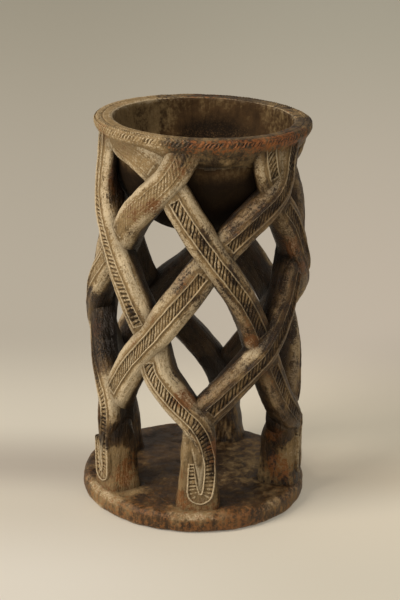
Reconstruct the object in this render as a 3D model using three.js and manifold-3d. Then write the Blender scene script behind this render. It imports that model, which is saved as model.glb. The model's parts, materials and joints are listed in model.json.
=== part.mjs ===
// Carved wooden divination cup, in millimetres.
// A round bowl with a flared rim stands on an openwork drum of ten interlaced straps.
// Five straps lean one way and five the other, and each passes over and under its
// neighbours in turn. Every pair comes down on one of five feet on a thick round base.
// +Z is up, the origin is under the middle of the base and -Y is the front.
import * as THREE from 'three';
import { mergeVertices } from 'three/addons/utils/BufferGeometryUtils.js';
import Module from 'manifold-3d';

const wasm = await Module();
wasm.setup();

// Overall sizes: base, rim and bowl are set in or out from the drum of straps
const cupHeight = 249;
const latticeRadius = 70;
const baseMargin = 2.8;
const baseThickness = 13;
const baseEdgeRound = 3.4;
const baseUnderRound = 1.9;

// Bowl and rim
const rimSetIn = 2;
const rimLedge = 12.3;
const rimBandHeight = 4.6;
const rimFlareHeight = 13.4;
const rimTopRound = 1.3;
const rimFlarePower = 0.8;
const cavityDepth = 60;
const bowlWall = 2.8;
const bowlFloor = 12.9;

// Straps
const shoulderDrawIn = 1.6;
const topDrawIn = 2.4;
const strapWidth = 19.5;
const strapDepth = 16;
const ridgeOffset = 4.6;
const ridgeThickness = 1;
const channelDepth = 0.9;
const flankDrop = 3;
const flankTaper = 0.8;
const overLift = 1.3;
const underDrop = 2.2;
const strapRingStep = 10;

// Loop in which a strap ends on the face of its foot
const tailWidth = 8.6;
const tailDepth = 8.5;
const loopRadii = [4.9, 4.9, 4.9, 4.9, 4.7];
const loopEndWidth = 5;
const loopSide = 0.8;
const loopBottomShare = 0.032;
const loopTopShare = 0.165;
const tailStartShare = 0.15;

// Root in which a rising strap starts inside its foot
const rootReach = 15;
const rootDip = 5;
const rootWidth = 14;
const rootDepth = 15;
const rootLean = 0.6;

// Feet
const footWidth = 25;
const footDepths = [21, 19, 21, 17, 21];
const footProud = 4;
const footFlare = 2;
const footFlarePower = 6;
const footTaper = 0.12;
const footLean = 0.6;
const footSquareness = 0.7;
const footTopShare = 0.235;

// Clearances and facets
const pieceGap = 0.3;
const roundFacets = 48;
const footFacets = 12;
const lapRings = 14;
const throughMargin = 20;

// Radii and heights that follow from the sizes above
const baseRadius = latticeRadius + baseMargin;
const rimRadius = latticeRadius - rimSetIn;
const mouthRadius = rimRadius - rimLedge;
const bowlRadius = mouthRadius + bowlWall;
const latticeTop = cupHeight - rimBandHeight;
const latticeHeight = latticeTop - baseThickness;
const rimSeat = latticeTop - rimFlareHeight;
const bowlBottom = cupHeight - cavityDepth - bowlFloor;
const bowlHeight = rimSeat - bowlBottom;

// Where the straps cross: the angle from the front, in degrees to the right, and the
// height as a share of the lattice. Rows run from the feet up, one crossing for each foot.
const crossingRows = [
  [[2, 0.247], [67, 0.218], [163, 0.185], [242, 0.225], [305.5, 0.261]],
  [[40.5, 0.444], [122, 0.44], [210, 0.448], [268, 0.485], [333, 0.468]],
  [[8.7, 0.703], [71, 0.671], [160, 0.638], [238, 0.694], [306.6, 0.706]],
  [[45, 0.865], [127, 0.865], [200, 0.886], [], [341, 0.9]],
];
const footNames = ['front', 'right', 'back', 'rear_left', 'left'];
const footAngles = [3.5, 79, 159.5, 242, 299];
const footSetBacks = [4, -1, 1, 1, 1.5];
const feet = footAngles.length;

// A looped strap comes down to the right, and a rising strap goes up to the right. From
// the feet up, these are their upper ends under the rim, as [angle, share], and the extra
// bends that hand carving gave them between two rows, as [row below, angle, share] and,
// where it differs there, how far the strap dips inwards, its width and its depth.
const loopedEnds = [
  [[292, 0.83], [292.5, 0.985]],
  [[331, 0.94], [321, 0.965], [309, 0.985]],
  [[39.5, 0.93], [38, 0.985]],
  [[112, 0.93], [103, 0.985]],
  [[188, 0.95], [181, 0.985]],
];
const risingEnds = [
  [[134, 0.94], [138, 0.985]],
  [[208, 0.94], [213, 0.985]],
  [[248, 0.86], [253, 0.985]],
  [[347, 0.945], [351, 0.985]],
  [[52, 0.915], [56, 0.985]],
];
const loopedBends = [
  [[0, 348.3, 0.318, 0, 19.5, 21], [0, 337, 0.389, 0, 19.5, 22], [1, 327, 0.532]],
  [[0, 57, 0.28], [0, 48, 0.352], [1, 25, 0.588, 0, 17.5], [2, 350, 0.835]],
  [[2, 59, 0.776]],
  [[1, 187, 0.52]],
  [],
];
const risingBends = [
  [[0, 19.4, 0.347], [0, 29, 0.39], [1, 57, 0.56], [2, 93, 0.745, 3.5]],
  [[0, 96, 0.33, 2]],
  [],
  [[2, 320, 0.796]],
  [[0, 321.4, 0.393, 0, 21], [1, 350, 0.586, 0, 22], [2, 24.6, 0.781]],
];

const radians = THREE.MathUtils.degToRad;
const degrees = THREE.MathUtils.radToDeg;
const { lerp, smoothstep, clamp } = THREE.MathUtils;
const quarterTurns = (steps) => Array.from({ length: steps + 1 }, (_, i) => (i / steps) * Math.PI / 2);

// A closed mesh as a solid that can be cut
function solidOf(geometry) {
  const bare = geometry.clone();
  bare.deleteAttribute('normal');
  bare.deleteAttribute('uv');
  const merged = mergeVertices(bare, 1e-4);
  return new wasm.Manifold(new wasm.Mesh({
    numProp: 3,
    vertProperties: new Float32Array(merged.attributes.position.array),
    triVerts: new Uint32Array(merged.index.array),
  }));
}

// The main body of a cut solid, without the crumbs that a cut can leave
function mainBody(solid) {
  return solid.decompose().reduce((best, body) => (body.volume() > best.volume() ? body : best));
}

function geometryOf(solid) {
  const { vertProperties, triVerts } = solid.getMesh();
  const geometry = new THREE.BufferGeometry();
  geometry.setAttribute('position', new THREE.BufferAttribute(vertProperties, 3));
  geometry.setIndex(new THREE.BufferAttribute(triVerts, 1));
  geometry.computeVertexNormals();
  return geometry;
}

// A closed skin over rings of equally many points, with a fan over each end
function loft(rings, startCentre, endCentre) {
  const count = rings[0].length;
  const positions = [...rings.flat(), startCentre, endCentre].flatMap((p) => [p.x, p.y, p.z]);
  const start = rings.length * count;
  const last = start - count;
  const index = [];
  for (let i = 0; i < count; i += 1) {
    const next = (i + 1) % count;
    for (let ring = 0; ring < rings.length - 1; ring += 1) {
      const a = ring * count + i;
      const b = ring * count + next;
      index.push(a, b, b + count, a, b + count, a + count);
    }
    index.push(start, next, i, start + 1, last + i, last + next);
  }
  const geometry = new THREE.BufferGeometry();
  geometry.setAttribute('position', new THREE.Float32BufferAttribute(positions, 3));
  geometry.setIndex(index);
  geometry.computeVertexNormals();
  return geometry;
}

// A solid of revolution around +Z, from [radius, height] points
function turned(points) {
  const profile = points.map(([radius, height]) => new THREE.Vector2(radius, height));
  return new THREE.LatheGeometry(profile, roundFacets).rotateX(Math.PI / 2);
}

// Bowl, rim and base

const cavityRadiusAt = (height) => {
  const drop = (cupHeight - height) / cavityDepth;
  return mouthRadius * Math.sqrt(Math.max(0, 1 - drop * drop));
};

const bowlRadiusAt = (height) => {
  const drop = clamp((rimSeat - height) / bowlHeight, 0, 1);
  return bowlRadius * Math.sqrt(1 - drop * drop);
};

const flareRadiusAt = (height) => {
  const share = clamp((height - rimSeat) / rimFlareHeight, 0, 1);
  return bowlRadius + (rimRadius - bowlRadius) * share ** rimFlarePower;
};

// Outside of the bowl from its lowest point up to the rim, grown outwards
function bowlOutline(grow) {
  return quarterTurns(6).map((turn) => [
    (bowlRadius + grow) * Math.sin(turn),
    rimSeat - (bowlHeight + grow) * Math.cos(turn),
  ]);
}

function flareOutline(grow) {
  return [0.25, 0.5, 0.75].map((share) => {
    const height = rimSeat + share * rimFlareHeight;
    return [flareRadiusAt(height) + grow, height - grow];
  });
}

function bowlGeometry() {
  const top = rimSeat - pieceGap / 2;
  const outside = bowlOutline(0).slice(0, -1);
  const turnAtTop = Math.asin((cupHeight - top) / cavityDepth);
  const inside = quarterTurns(5).map((turn) => {
    const deep = lerp(turnAtTop, Math.PI / 2, turn / (Math.PI / 2));
    return [mouthRadius * Math.cos(deep), cupHeight - cavityDepth * Math.sin(deep)];
  });
  outside[0][0] = 0;
  inside.at(-1)[0] = 0;
  return turned([...outside, [bowlRadiusAt(top), top], ...inside]);
}

function rimGeometry() {
  const seat = rimSeat + pieceGap / 2;
  const shoulder = cupHeight - rimTopRound;
  const middle = (shoulder + seat) / 2;
  return turned([
    [cavityRadiusAt(seat), seat],
    [flareRadiusAt(seat), seat],
    ...flareOutline(0),
    [rimRadius, latticeTop],
    [rimRadius, shoulder],
    [rimRadius - rimTopRound, cupHeight],
    [mouthRadius + rimTopRound, cupHeight],
    [cavityRadiusAt(shoulder), shoulder],
    [cavityRadiusAt(middle), middle],
    [cavityRadiusAt(seat), seat],
  ]);
}

function baseGeometry() {
  const edge = quarterTurns(3).map((turn) => [
    baseRadius - baseEdgeRound * (1 - Math.cos(turn)),
    baseThickness - baseEdgeRound * (1 - Math.sin(turn)),
  ]);
  const under = [[0, 0], [baseRadius - baseUnderRound, 0], [baseRadius, baseUnderRound]];
  return turned([...under, ...edge, [0, baseThickness]]);
}

// Everything inside the outline of bowl and rim, which the straps stay clear of
function bowlRoom() {
  const above = cupHeight + throughMargin;
  const outline = [...bowlOutline(pieceGap), ...flareOutline(pieceGap)];
  outline[0][0] = 0;
  const top = [[rimRadius + pieceGap, latticeTop - pieceGap], [rimRadius + pieceGap, above], [0, above]];
  return solidOf(turned([...outline, ...top]));
}

// Straps

// Radius of the lattice's outer surface at a share of its height
function surfaceRadius(share) {
  const shoulder = shoulderDrawIn * smoothstep(share, 0.55, 0.85);
  return latticeRadius - shoulder - topDrawIn * smoothstep(share, 0.84, 1);
}

// The surface halfway through the wood, where the straps are let into each other
function lapRoom(offset) {
  const shares = Array.from({ length: lapRings + 1 }, (_, i) => i / lapRings);
  const wall = shares.map((share) => {
    const height = lerp(baseThickness, latticeTop, share);
    const outer = surfaceRadius(share);
    const bowl = height > bowlBottom ? bowlRadiusAt(height) + pieceGap : 0;
    return [(outer + Math.max(outer - strapDepth, bowl)) / 2 + offset, height];
  });
  const floor = [[0, -throughMargin], [wall[0][0], -throughMargin]];
  const above = cupHeight + throughMargin;
  return solidOf(turned([...floor, ...wall, [wall.at(-1)[0], above], [0, above]]));
}

// Angles that run on past a full turn, so that a route can be followed
function unwrap(points) {
  let last = points[0].angle;
  return points.map((point) => {
    last += THREE.MathUtils.euclideanModulo(point.angle - last + 180, 360) - 180;
    return { ...point, angle: last };
  });
}

// The crossing of a strap in a row, for the looped or rising strap of a foot
function crossingOf(kind, foot, row) {
  const shift = kind === 'looped' ? [0, -1, -1, -2] : [0, 0, 1, 1];
  return crossingRows[row][(foot + shift[row] + feet) % feet];
}

const passesOver = (kind, row) => (kind === 'looped') === (row % 2 === 0);

// The strap from the rim down to its foot's crossing
function latticeRoute(kind, foot) {
  const looped = kind === 'looped';
  const ends = looped ? loopedEnds[foot] : risingEnds[foot];
  const bends = looped ? loopedBends[foot] : risingBends[foot];
  const points = crossingRows.flatMap((_, row) => {
    const [angle, share] = crossingOf(kind, foot, row);
    const lift = passesOver(kind, row) ? overLift : -underDrop;
    const crossing = share === undefined ? [] : [{ angle, share, lift }];
    const nextBends = bends.filter(([below]) => below === row);
    return [...crossing, ...nextBends.map(([, bend, height, dip = 0, ...size]) => (
      { angle: bend, share: height, lift: -dip, size }))];
  });
  points.push(...ends.map(([angle, share]) => ({ angle, share, lift: 0 })));
  return points.reverse().map(({ size: [width = strapWidth, depth = strapDepth] = [], ...point }) => (
    { ...point, width, depth }));
}

// The tail on the face of the foot, down, round its loop and up again
function tailRoute(foot) {
  const centre = footAngles[foot] + degrees(loopSide / latticeRadius);
  const side = degrees(loopRadii[foot] / latticeRadius);
  const rise = loopRadii[foot] / latticeHeight;
  const arc = [0, 0.25, 0.5, 0.75, 1].map((turn) => ({
    angle: centre + side * Math.cos(turn * Math.PI),
    share: loopBottomShare + rise * (1 - Math.sin(turn * Math.PI)),
    width: tailWidth,
  }));
  const start = { angle: centre + side, share: tailStartShare, width: tailWidth };
  const end = { angle: centre - side, share: loopTopShare, width: loopEndWidth };
  return [start, ...arc, end].map((point) => {
    const low = 1 - smoothstep(point.share, loopBottomShare, crossingOf('looped', foot, 0)[1]);
    return { ...point, lift: -low * footSetBacks[foot], depth: tailDepth };
  });
}

// A rising strap starts inside the foot, under the looped strap that crosses it
function rootRoute(foot) {
  const [angle, share] = crossingOf('rising', foot, 0);
  const [from, to] = unwrap([{ angle }, { angle: footAngles[foot] }]);
  return [{
    angle: lerp(from.angle, to.angle, rootLean),
    share: share - rootReach / latticeHeight,
    lift: -underDrop - rootDip,
    width: rootWidth,
    depth: rootDepth,
  }];
}

// The section of a strap, across and outwards: two ridges with a channel between them,
// or level between the ridges where it is grown into the room that the strap takes
function strapSection(width, depth, grow) {
  const half = width / 2 + grow;
  const ridge = Math.min(ridgeOffset, width / 2 - ridgeThickness) + grow;
  const drop = flankDrop * Math.min(1, (half - ridge) / (strapWidth / 2 - ridgeOffset));
  const channel = ridge - ridgeThickness;
  const hollow = [[-channel, -channelDepth], [channel, -channelDepth]];
  return [
    [-half, grow - drop], [-ridge, grow], ...(grow > 0 ? [] : hollow), [ridge, grow], [half, grow - drop],
    [half * flankTaper, -depth - grow], [-half * flankTaper, -depth - grow],
  ];
}

// A strap swept along its route, grown all round by a clearance
function sweep(route, grow) {
  const points = unwrap(route);
  const unrolled = points.map((p) => new THREE.Vector3(
    radians(p.angle) * latticeRadius,
    lerp(baseThickness, latticeTop, p.share),
    surfaceRadius(p.share) + p.lift,
  ));
  const curve = new THREE.CatmullRomCurve3(unrolled, false, 'centripetal');
  const lastPoint = points.length - 1;
  const stations = [];
  for (let i = 0; i < lastPoint; i += 1) {
    const parts = Math.max(1, Math.round(unrolled[i].distanceTo(unrolled[i + 1]) / strapRingStep));
    for (let part = 0; part < parts; part += 1) stations.push(i + part / parts);
  }
  stations.push(lastPoint);
  const spine = stations.map((station) => {
    const { x, y, z } = curve.getPoint(station / lastPoint);
    const angle = x / latticeRadius;
    return new THREE.Vector3(z * Math.sin(angle), -z * Math.cos(angle), y);
  });
  const rings = spine.map((place, i) => {
    const before = points[Math.floor(stations[i])];
    const after = points[Math.ceil(stations[i])];
    const part = stations[i] % 1;
    const width = lerp(before.width, after.width, part);
    const depth = lerp(before.depth, after.depth, part);
    const ahead = spine[Math.min(i + 1, spine.length - 1)].clone();
    const along = ahead.sub(spine[Math.max(i - 1, 0)]).normalize();
    const outward = new THREE.Vector3(place.x, place.y, 0).normalize();
    const across = new THREE.Vector3().crossVectors(along, outward).normalize();
    const end = (i === spine.length - 1) - (i === 0);
    const centre = place.clone().addScaledVector(along, end * grow);
    const at = ([side, out]) => centre.clone().addScaledVector(across, side).addScaledVector(outward, out);
    return { skin: strapSection(width, depth, grow).map(at), middle: at([0, -depth * 0.8]) };
  });
  return solidOf(loft(rings.map((ring) => ring.skin), rings[0].middle, rings.at(-1).middle));
}

function strapSolid(kind, foot, grow) {
  const lowerEnd = kind === 'looped' ? tailRoute(foot) : rootRoute(foot);
  return sweep([...latticeRoute(kind, foot), ...lowerEnd], grow);
}

// Every strap, cut where it passes over or under another, where it meets the bowl and
// where its upper end would run into a neighbour
function fittedStraps() {
  const straps = ['looped', 'rising'].flatMap((kind) => footNames.map((name, foot) => ({
    kind,
    foot,
    name: `${kind}_strap_${name}`,
    solid: strapSolid(kind, foot, 0),
    room: strapSolid(kind, foot, pieceGap),
  })));
  const overRoom = lapRoom(-pieceGap / 2);
  const underRoom = lapRoom(pieceGap / 2);
  const bowl = bowlRoom();
  const rows = crossingRows.map((_, row) => row);
  const crossingRow = (a, b) => rows.find((row) => (
    a.kind !== b.kind && crossingOf(a.kind, a.foot, row) === crossingOf(b.kind, b.foot, row)));
  straps.forEach((strap, i) => {
    straps.forEach((other, j) => {
      if (i === j) return;
      const row = crossingRow(strap, other);
      if (row === undefined) {
        strap.solid = j < i ? strap.solid.subtract(other.room) : strap.solid;
      } else if (passesOver(strap.kind, row)) {
        strap.solid = strap.solid.subtract(other.room.intersect(underRoom));
      } else {
        strap.solid = strap.solid.subtract(other.room.subtract(overRoom));
      }
    });
    strap.solid = mainBody(strap.solid.subtract(bowl));
  });
  return straps;
}

// Feet

// A stump that flares at the base and leans towards the crossing above it
function footSolid(foot, straps) {
  const top = lerp(baseThickness, latticeTop, footTopShare);
  const bottom = baseThickness + pieceGap;
  const ownCrossing = { angle: crossingOf('looped', foot, 0)[0] };
  const crossing = unwrap([{ angle: footAngles[foot] }, ownCrossing])[1];
  const rings = [0, 0.12, 0.4, 0.75, 1].map((share) => {
    const flare = footFlare * (1 - share) ** footFlarePower;
    const lean = footLean * smoothstep(share, 0.3, 1);
    const angle = radians(lerp(footAngles[foot], crossing.angle, lean));
    const face = latticeRadius - footSetBacks[foot] - footProud;
    const inner = latticeRadius - footProud - footDepths[foot];
    const middle = (inner + face) / 2;
    const halfDepth = (face - inner + flare) / 2;
    const halfWidth = (footWidth / 2) * (1 - footTaper * share) + flare / 2;
    return Array.from({ length: footFacets }, (_, i) => {
      const turn = ((i + 0.5) / footFacets) * 2 * Math.PI;
      const squared = (value) => Math.sign(value) * Math.abs(value) ** footSquareness;
      const side = -halfWidth * squared(Math.sin(turn));
      const out = middle - halfDepth * squared(Math.cos(turn));
      const x = out * Math.sin(angle) + side * Math.cos(angle);
      const y = -out * Math.cos(angle) + side * Math.sin(angle);
      return new THREE.Vector3(x, y, lerp(bottom, top, share));
    });
  });
  const centreOf = (ring) => ring.reduce((sum, p) => sum.add(p), new THREE.Vector3())
    .divideScalar(footFacets);
  const stump = solidOf(loft(rings, centreOf(rings[0]), centreOf(rings.at(-1))));
  return mainBody(straps.reduce((solid, strap) => solid.subtract(strap.room), stump));
}

// Assembly

function piece(name, geometry, color, roughness) {
  const material = new THREE.MeshStandardMaterial({ color, roughness, metalness: 0 });
  const mesh = new THREE.Mesh(geometry, material);
  mesh.name = name;
  return mesh;
}

const darkWood = 0x3b2c20;
const wornWood = 0x6b5238;
const dustyWood = 0x83705a;

const cup = new THREE.Group();
const straps = fittedStraps();
cup.add(piece('base_disc', baseGeometry(), wornWood, 0.75));
cup.add(piece('bowl', bowlGeometry(), darkWood, 0.7));
cup.add(piece('rim_ring', rimGeometry(), wornWood, 0.65));
footNames.forEach((name, foot) => {
  cup.add(piece(`foot_${name}`, geometryOf(footSolid(foot, straps)), darkWood, 0.7));
});
straps.forEach(({ name, solid }) => {
  cup.add(piece(name, geometryOf(solid), dustyWood, 0.8));
});

export default cup;
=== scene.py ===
# %% [markdown]
# # A carved wooden divination cup
#
# The real object is one block of dense wood. A carver hollowed a bowl in its top, cut an
# openwork drum of ten woven straps below it, and left five stumpy feet on a thick round
# base. Years of handling gave it a dark patina, pale dust in every cut and orange-brown
# wood where it rubs.
#
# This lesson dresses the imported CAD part. The part gives every size and place. Blender
# adds what a knife leaves: rounded corners, rows of short strokes, wobble and wear.

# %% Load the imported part
import json
import math

import bmesh
import bpy
import numpy as np
from mathutils import Matrix, Vector

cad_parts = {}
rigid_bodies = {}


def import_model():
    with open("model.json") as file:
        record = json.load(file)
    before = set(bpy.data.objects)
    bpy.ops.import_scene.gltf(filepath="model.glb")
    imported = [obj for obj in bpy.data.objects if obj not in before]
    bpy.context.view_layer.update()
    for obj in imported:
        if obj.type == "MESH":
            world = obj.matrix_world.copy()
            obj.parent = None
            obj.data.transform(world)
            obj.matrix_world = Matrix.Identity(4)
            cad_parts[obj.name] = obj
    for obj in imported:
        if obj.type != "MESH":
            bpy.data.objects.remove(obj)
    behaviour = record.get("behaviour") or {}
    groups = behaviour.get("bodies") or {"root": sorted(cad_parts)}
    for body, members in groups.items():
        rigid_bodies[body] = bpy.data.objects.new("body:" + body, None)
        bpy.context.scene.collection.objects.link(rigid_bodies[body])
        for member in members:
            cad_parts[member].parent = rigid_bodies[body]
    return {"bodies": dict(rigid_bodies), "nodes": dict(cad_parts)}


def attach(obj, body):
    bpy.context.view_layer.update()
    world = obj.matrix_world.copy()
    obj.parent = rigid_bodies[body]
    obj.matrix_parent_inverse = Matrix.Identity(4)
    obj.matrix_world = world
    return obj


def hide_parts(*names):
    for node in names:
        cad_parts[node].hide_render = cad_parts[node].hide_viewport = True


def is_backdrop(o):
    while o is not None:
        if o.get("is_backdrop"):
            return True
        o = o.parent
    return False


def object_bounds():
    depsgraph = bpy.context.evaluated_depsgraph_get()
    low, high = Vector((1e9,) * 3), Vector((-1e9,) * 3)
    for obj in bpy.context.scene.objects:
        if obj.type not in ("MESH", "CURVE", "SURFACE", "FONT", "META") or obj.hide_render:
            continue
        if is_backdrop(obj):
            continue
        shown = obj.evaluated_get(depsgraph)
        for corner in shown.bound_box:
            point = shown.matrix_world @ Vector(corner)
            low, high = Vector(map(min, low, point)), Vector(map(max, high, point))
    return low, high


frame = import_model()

from_the_part = {*frame["nodes"].values(), *frame["bodies"].values()}
for leftover in [thing for thing in bpy.data.objects if thing not in from_the_part]:
    bpy.data.objects.remove(leftover)
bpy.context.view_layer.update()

# %% [markdown]
# ## Small helpers
#
# A node tree is easiest to read when every node is made the same way, so one function adds
# any node. It takes the kind, with the mode as a second word ("Math MULTIPLY"), and the
# inputs, by name or in their order: a value, an output, or a node, whose first output is
# then used. A Map Range reads its value, from low, from high, to low and to high. Colours
# are written as the hex values of a paint program, and Blender calculates in linear light,
# so one function converts them.

# %% Add a node, and turn a hex colour to linear light
MM = 0.001
FAMILIES = ("GeometryNode", "ShaderNode", "Node")
# a mode goes to the first of these settings that the node has
MODES = ("operation", "interpolation_type", "data_type", "mode", "target_element", "noise_dimensions",
         "attribute_name")


def add(tree, kind, inputs=(), **settings):
    """A new node with its mode and settings, and with values or links on its inputs."""
    kind, *mode = kind.split()
    made = tree.nodes.new(next(family + kind for family in FAMILIES if hasattr(bpy.types, family + kind)))
    if mode:
        settings[next(name for name in MODES if hasattr(made, name))] = mode[0]
    for name, value in settings.items():
        setattr(made, name, value)
    for key, value in inputs.items() if isinstance(inputs, dict) else enumerate(inputs):
        if isinstance(value, bpy.types.Node):
            value = next(output for output in value.outputs if output.enabled)
        if isinstance(value, bpy.types.NodeSocket):
            tree.links.new(value, made.inputs[key])
        else:
            made.inputs[key].default_value = value
    return made


def linear(hex_colour):
    """An sRGB hex colour as linear red, green, blue and alpha."""
    parts = [int(hex_colour[i:i + 2], 16) / 255 for i in (1, 3, 5)]
    return [c / 12.92 if c <= 0.04045 else ((c + 0.055) / 1.055) ** 2.4 for c in parts] + [1.0]


print("mid grey in linear light:", round(linear("#808080")[0], 3))

# %% A smooth step, and a new object
def smooth(values, low, high):
    """0 below low, 1 above high, and a smooth step between."""
    share = np.clip((np.asarray(values, float) - low) / (high - low), 0, 1)
    return share * share * (3 - 2 * share)


def shown(name, data):
    """A new object in the scene."""
    made = bpy.data.objects.new(name, data)
    bpy.context.scene.collection.objects.link(made)
    return made


print("halfway up a smooth step:", float(smooth(0.5, 0, 1)))

# %% [markdown]
# ## Sizes of the cup
#
# These are the sizes of the CAD part, in millimetres. The straps are laid out on the
# unrolled drum: an angle from the front, in degrees to the right, and a share of the
# drum's height. Writing the rows of crossings down once is enough, because every strap
# runs from crossing to crossing.

# %% The drum, the bowl and the base
CUP_HEIGHT = 249
BASE_RADIUS = 72.8
BASE_THICKNESS = 13
RIM_RADIUS = 68
RIM_BAND = 4.6
FLARE_HEIGHT = 13.4
MOUTH_RADIUS = 55.7
CAVITY_DEPTH = 60
BOWL_RADIUS = 58.5
BOWL_FLOOR = 12.9
DRUM_RADIUS = 70
DRUM_TOP = CUP_HEIGHT - RIM_BAND
DRUM_HEIGHT = DRUM_TOP - BASE_THICKNESS
RIM_SEAT = DRUM_TOP - FLARE_HEIGHT
BOWL_BOTTOM = CUP_HEIGHT - CAVITY_DEPTH - BOWL_FLOOR

# %% The rows of crossings, from the feet up, one crossing for each foot
CROSSINGS = [
    [(2, 0.247), (67, 0.218), (163, 0.185), (242, 0.225), (305.5, 0.261)],
    [(40.5, 0.444), (122, 0.44), (210, 0.448), (268, 0.485), (333, 0.468)],
    [(8.7, 0.703), (71, 0.671), (160, 0.638), (238, 0.694), (306.6, 0.706)],
    [(45, 0.865), (127, 0.865), (200, 0.886), None, (341, 0.9)],
]
FEET = ["front", "right", "back", "rear_left", "left"]
FOOT_ANGLES = [3.5, 79, 159.5, 242, 299]
FOOT_SET_BACKS = [4, -1, 1, 1, 1.5]

# %% The upper ends under the rim, and bends as row below, angle, share, dip, width and depth
STRAP_WIDTH = 19.5
STRAP_DEPTH = 16
ENDS = {
    "looped": [
        [(292, 0.83), (292.5, 0.985)],
        [(331, 0.94), (321, 0.965), (309, 0.985)],
        [(39.5, 0.93), (38, 0.985)],
        [(112, 0.93), (103, 0.985)],
        [(188, 0.95), (181, 0.985)],
    ],
    "rising": [
        [(134, 0.94), (138, 0.985)],
        [(208, 0.94), (213, 0.985)],
        [(248, 0.86), (253, 0.985)],
        [(347, 0.945), (351, 0.985)],
        [(52, 0.915), (56, 0.985)],
    ],
}
BENDS = {
    "looped": [
        [(0, 348.3, 0.318, 0, 19.5, 21), (0, 337, 0.389, 0, 19.5, 22), (1, 327, 0.532)],
        [(0, 57, 0.28), (0, 48, 0.352), (1, 25, 0.588, 0, 17.5), (2, 350, 0.835)],
        [(2, 59, 0.776)],
        [(1, 187, 0.52)],
        [],
    ],
    "rising": [
        [(0, 19.4, 0.347), (0, 29, 0.39), (1, 57, 0.56), (2, 93, 0.745, 3.5)],
        [(0, 96, 0.33, 2)],
        [],
        [(2, 320, 0.796)],
        [(0, 321.4, 0.393, 0, 21), (1, 350, 0.586, 0, 22), (2, 24.6, 0.781)],
    ],
}
print("straps:", 2 * len(FEET), "crossings:", sum(c is not None for row in CROSSINGS for c in row))

# %% [markdown]
# ## The line that each strap follows
#
# A woven strap goes over one neighbour and under the next. On the real cup the step is
# only about 3 mm, carved into solid wood, so the line lifts a little at one crossing and
# dips at the next. A smooth curve through the crossings (a centripetal Catmull-Rom
# spline, which doesn't overshoot at tight bends) gives the sweep of a hand-drawn layout.

# %% Radii of the drum and of the bowl
OVER_LIFT = 1.3
UNDER_DROP = 2.2
SHOULDER_DRAW = 1.6
NECK_DRAW = 2.4


def surface_radius(share):
    """The drum's outside, which draws in a little towards the rim."""
    return DRUM_RADIUS - SHOULDER_DRAW * smooth(share, 0.55, 0.85) - NECK_DRAW * smooth(share, 0.84, 1)


def bowl_outside(height):
    """Radius of the bowl's outside at a height."""
    drop = np.clip((RIM_SEAT - np.asarray(height, float)) / (RIM_SEAT - BOWL_BOTTOM), 0, 1)
    return BOWL_RADIUS * np.sqrt(1 - drop * drop)


def crossing(kind, foot, row):
    """Where the looped or rising strap of a foot crosses another in that row."""
    shift = {"looped": (0, -1, -1, -2), "rising": (0, 0, 1, 1)}[kind][row]
    return CROSSINGS[row][(foot + shift) % len(FEET)]


print("drum radius under the rim in mm:", float(surface_radius(1)))

# %% Stations of a strap from the rim down to its foot's crossing
TOP_OVERRUN = 0.035


def drum_stations(kind, foot):
    """Rows of angle, share, lift, width and depth."""
    usual = [0, STRAP_WIDTH, STRAP_DEPTH]
    stations = []
    for row in range(len(CROSSINGS)):
        over = (kind == "looped") == (row % 2 == 0)
        if crossing(kind, foot, row):
            stations.append([*crossing(kind, foot, row), OVER_LIFT if over else -UNDER_DROP, *usual[1:]])
        for below, angle, share, *given in BENDS[kind][foot]:
            dip, width, depth = given + usual[len(given):]
            stations += [[angle, share, -dip, width, depth]] if below == row else []
    stations += [[angle, share, *usual] for angle, share in ENDS[kind][foot]]
    # the last end runs on under the rim's band, where it is cut off level
    (angle, share, *rest), (before, *_) = stations[-1], stations[-2]
    stations.append([angle + 0.5 * (angle - before), share + TOP_OVERRUN, *rest])
    return stations[::-1]


print("stations of the front looped strap:", len(drum_stations("looped", 0)))

# %% Stations of the lower end: a loop on the face of the foot, or a root inside it
TAIL_WIDTH = 8.6
TAIL_DEPTH = 8.5
LOOP_RADII = [4.9, 4.9, 4.9, 4.9, 4.7]
LOOP_SIDE = 0.8
LOOP_BOTTOM = 0.032
TAIL_START = 0.15
TIP_SHARE = 0.14
TIP_WIDTH = 4.6
ROOT_DROP = 15
ROOT_SINK = 5
ROOT_SIZE = [14, 15]


def tail_stations(foot):
    """The looped strap runs down, round its loop and a little way up again."""
    centre = FOOT_ANGLES[foot] + math.degrees(LOOP_SIDE / DRUM_RADIUS)
    side = math.degrees(LOOP_RADII[foot] / DRUM_RADIUS)
    places = [(centre + side, TAIL_START, TAIL_WIDTH)]
    for turn in np.linspace(0, math.pi, 5):
        share = LOOP_BOTTOM + LOOP_RADII[foot] / DRUM_HEIGHT * (1 - math.sin(turn))
        places.append((centre + side * math.cos(turn), share, TAIL_WIDTH))
    places.append((centre - 1.3 * side, TIP_SHARE, TIP_WIDTH))
    top = crossing("looped", foot, 0)[1]
    return [[a, s, -FOOT_SET_BACKS[foot] * (1 - smooth(s, LOOP_BOTTOM, top)), w, TAIL_DEPTH]
            for a, s, w in places]


def root_stations(foot):
    """The rising strap starts inside the foot, under the looped one."""
    angle, share = crossing("rising", foot, 0)
    aim = angle + 0.6 * ((FOOT_ANGLES[foot] - angle + 180) % 360 - 180)
    return [[aim, share - ROOT_DROP / DRUM_HEIGHT, -UNDER_DROP - ROOT_SINK, *ROOT_SIZE]]


print("stations of its loop:", len(tail_stations(0)))

# %% A smooth line through the stations, on the unrolled drum
ROUTE_STEP = 0.7


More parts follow.
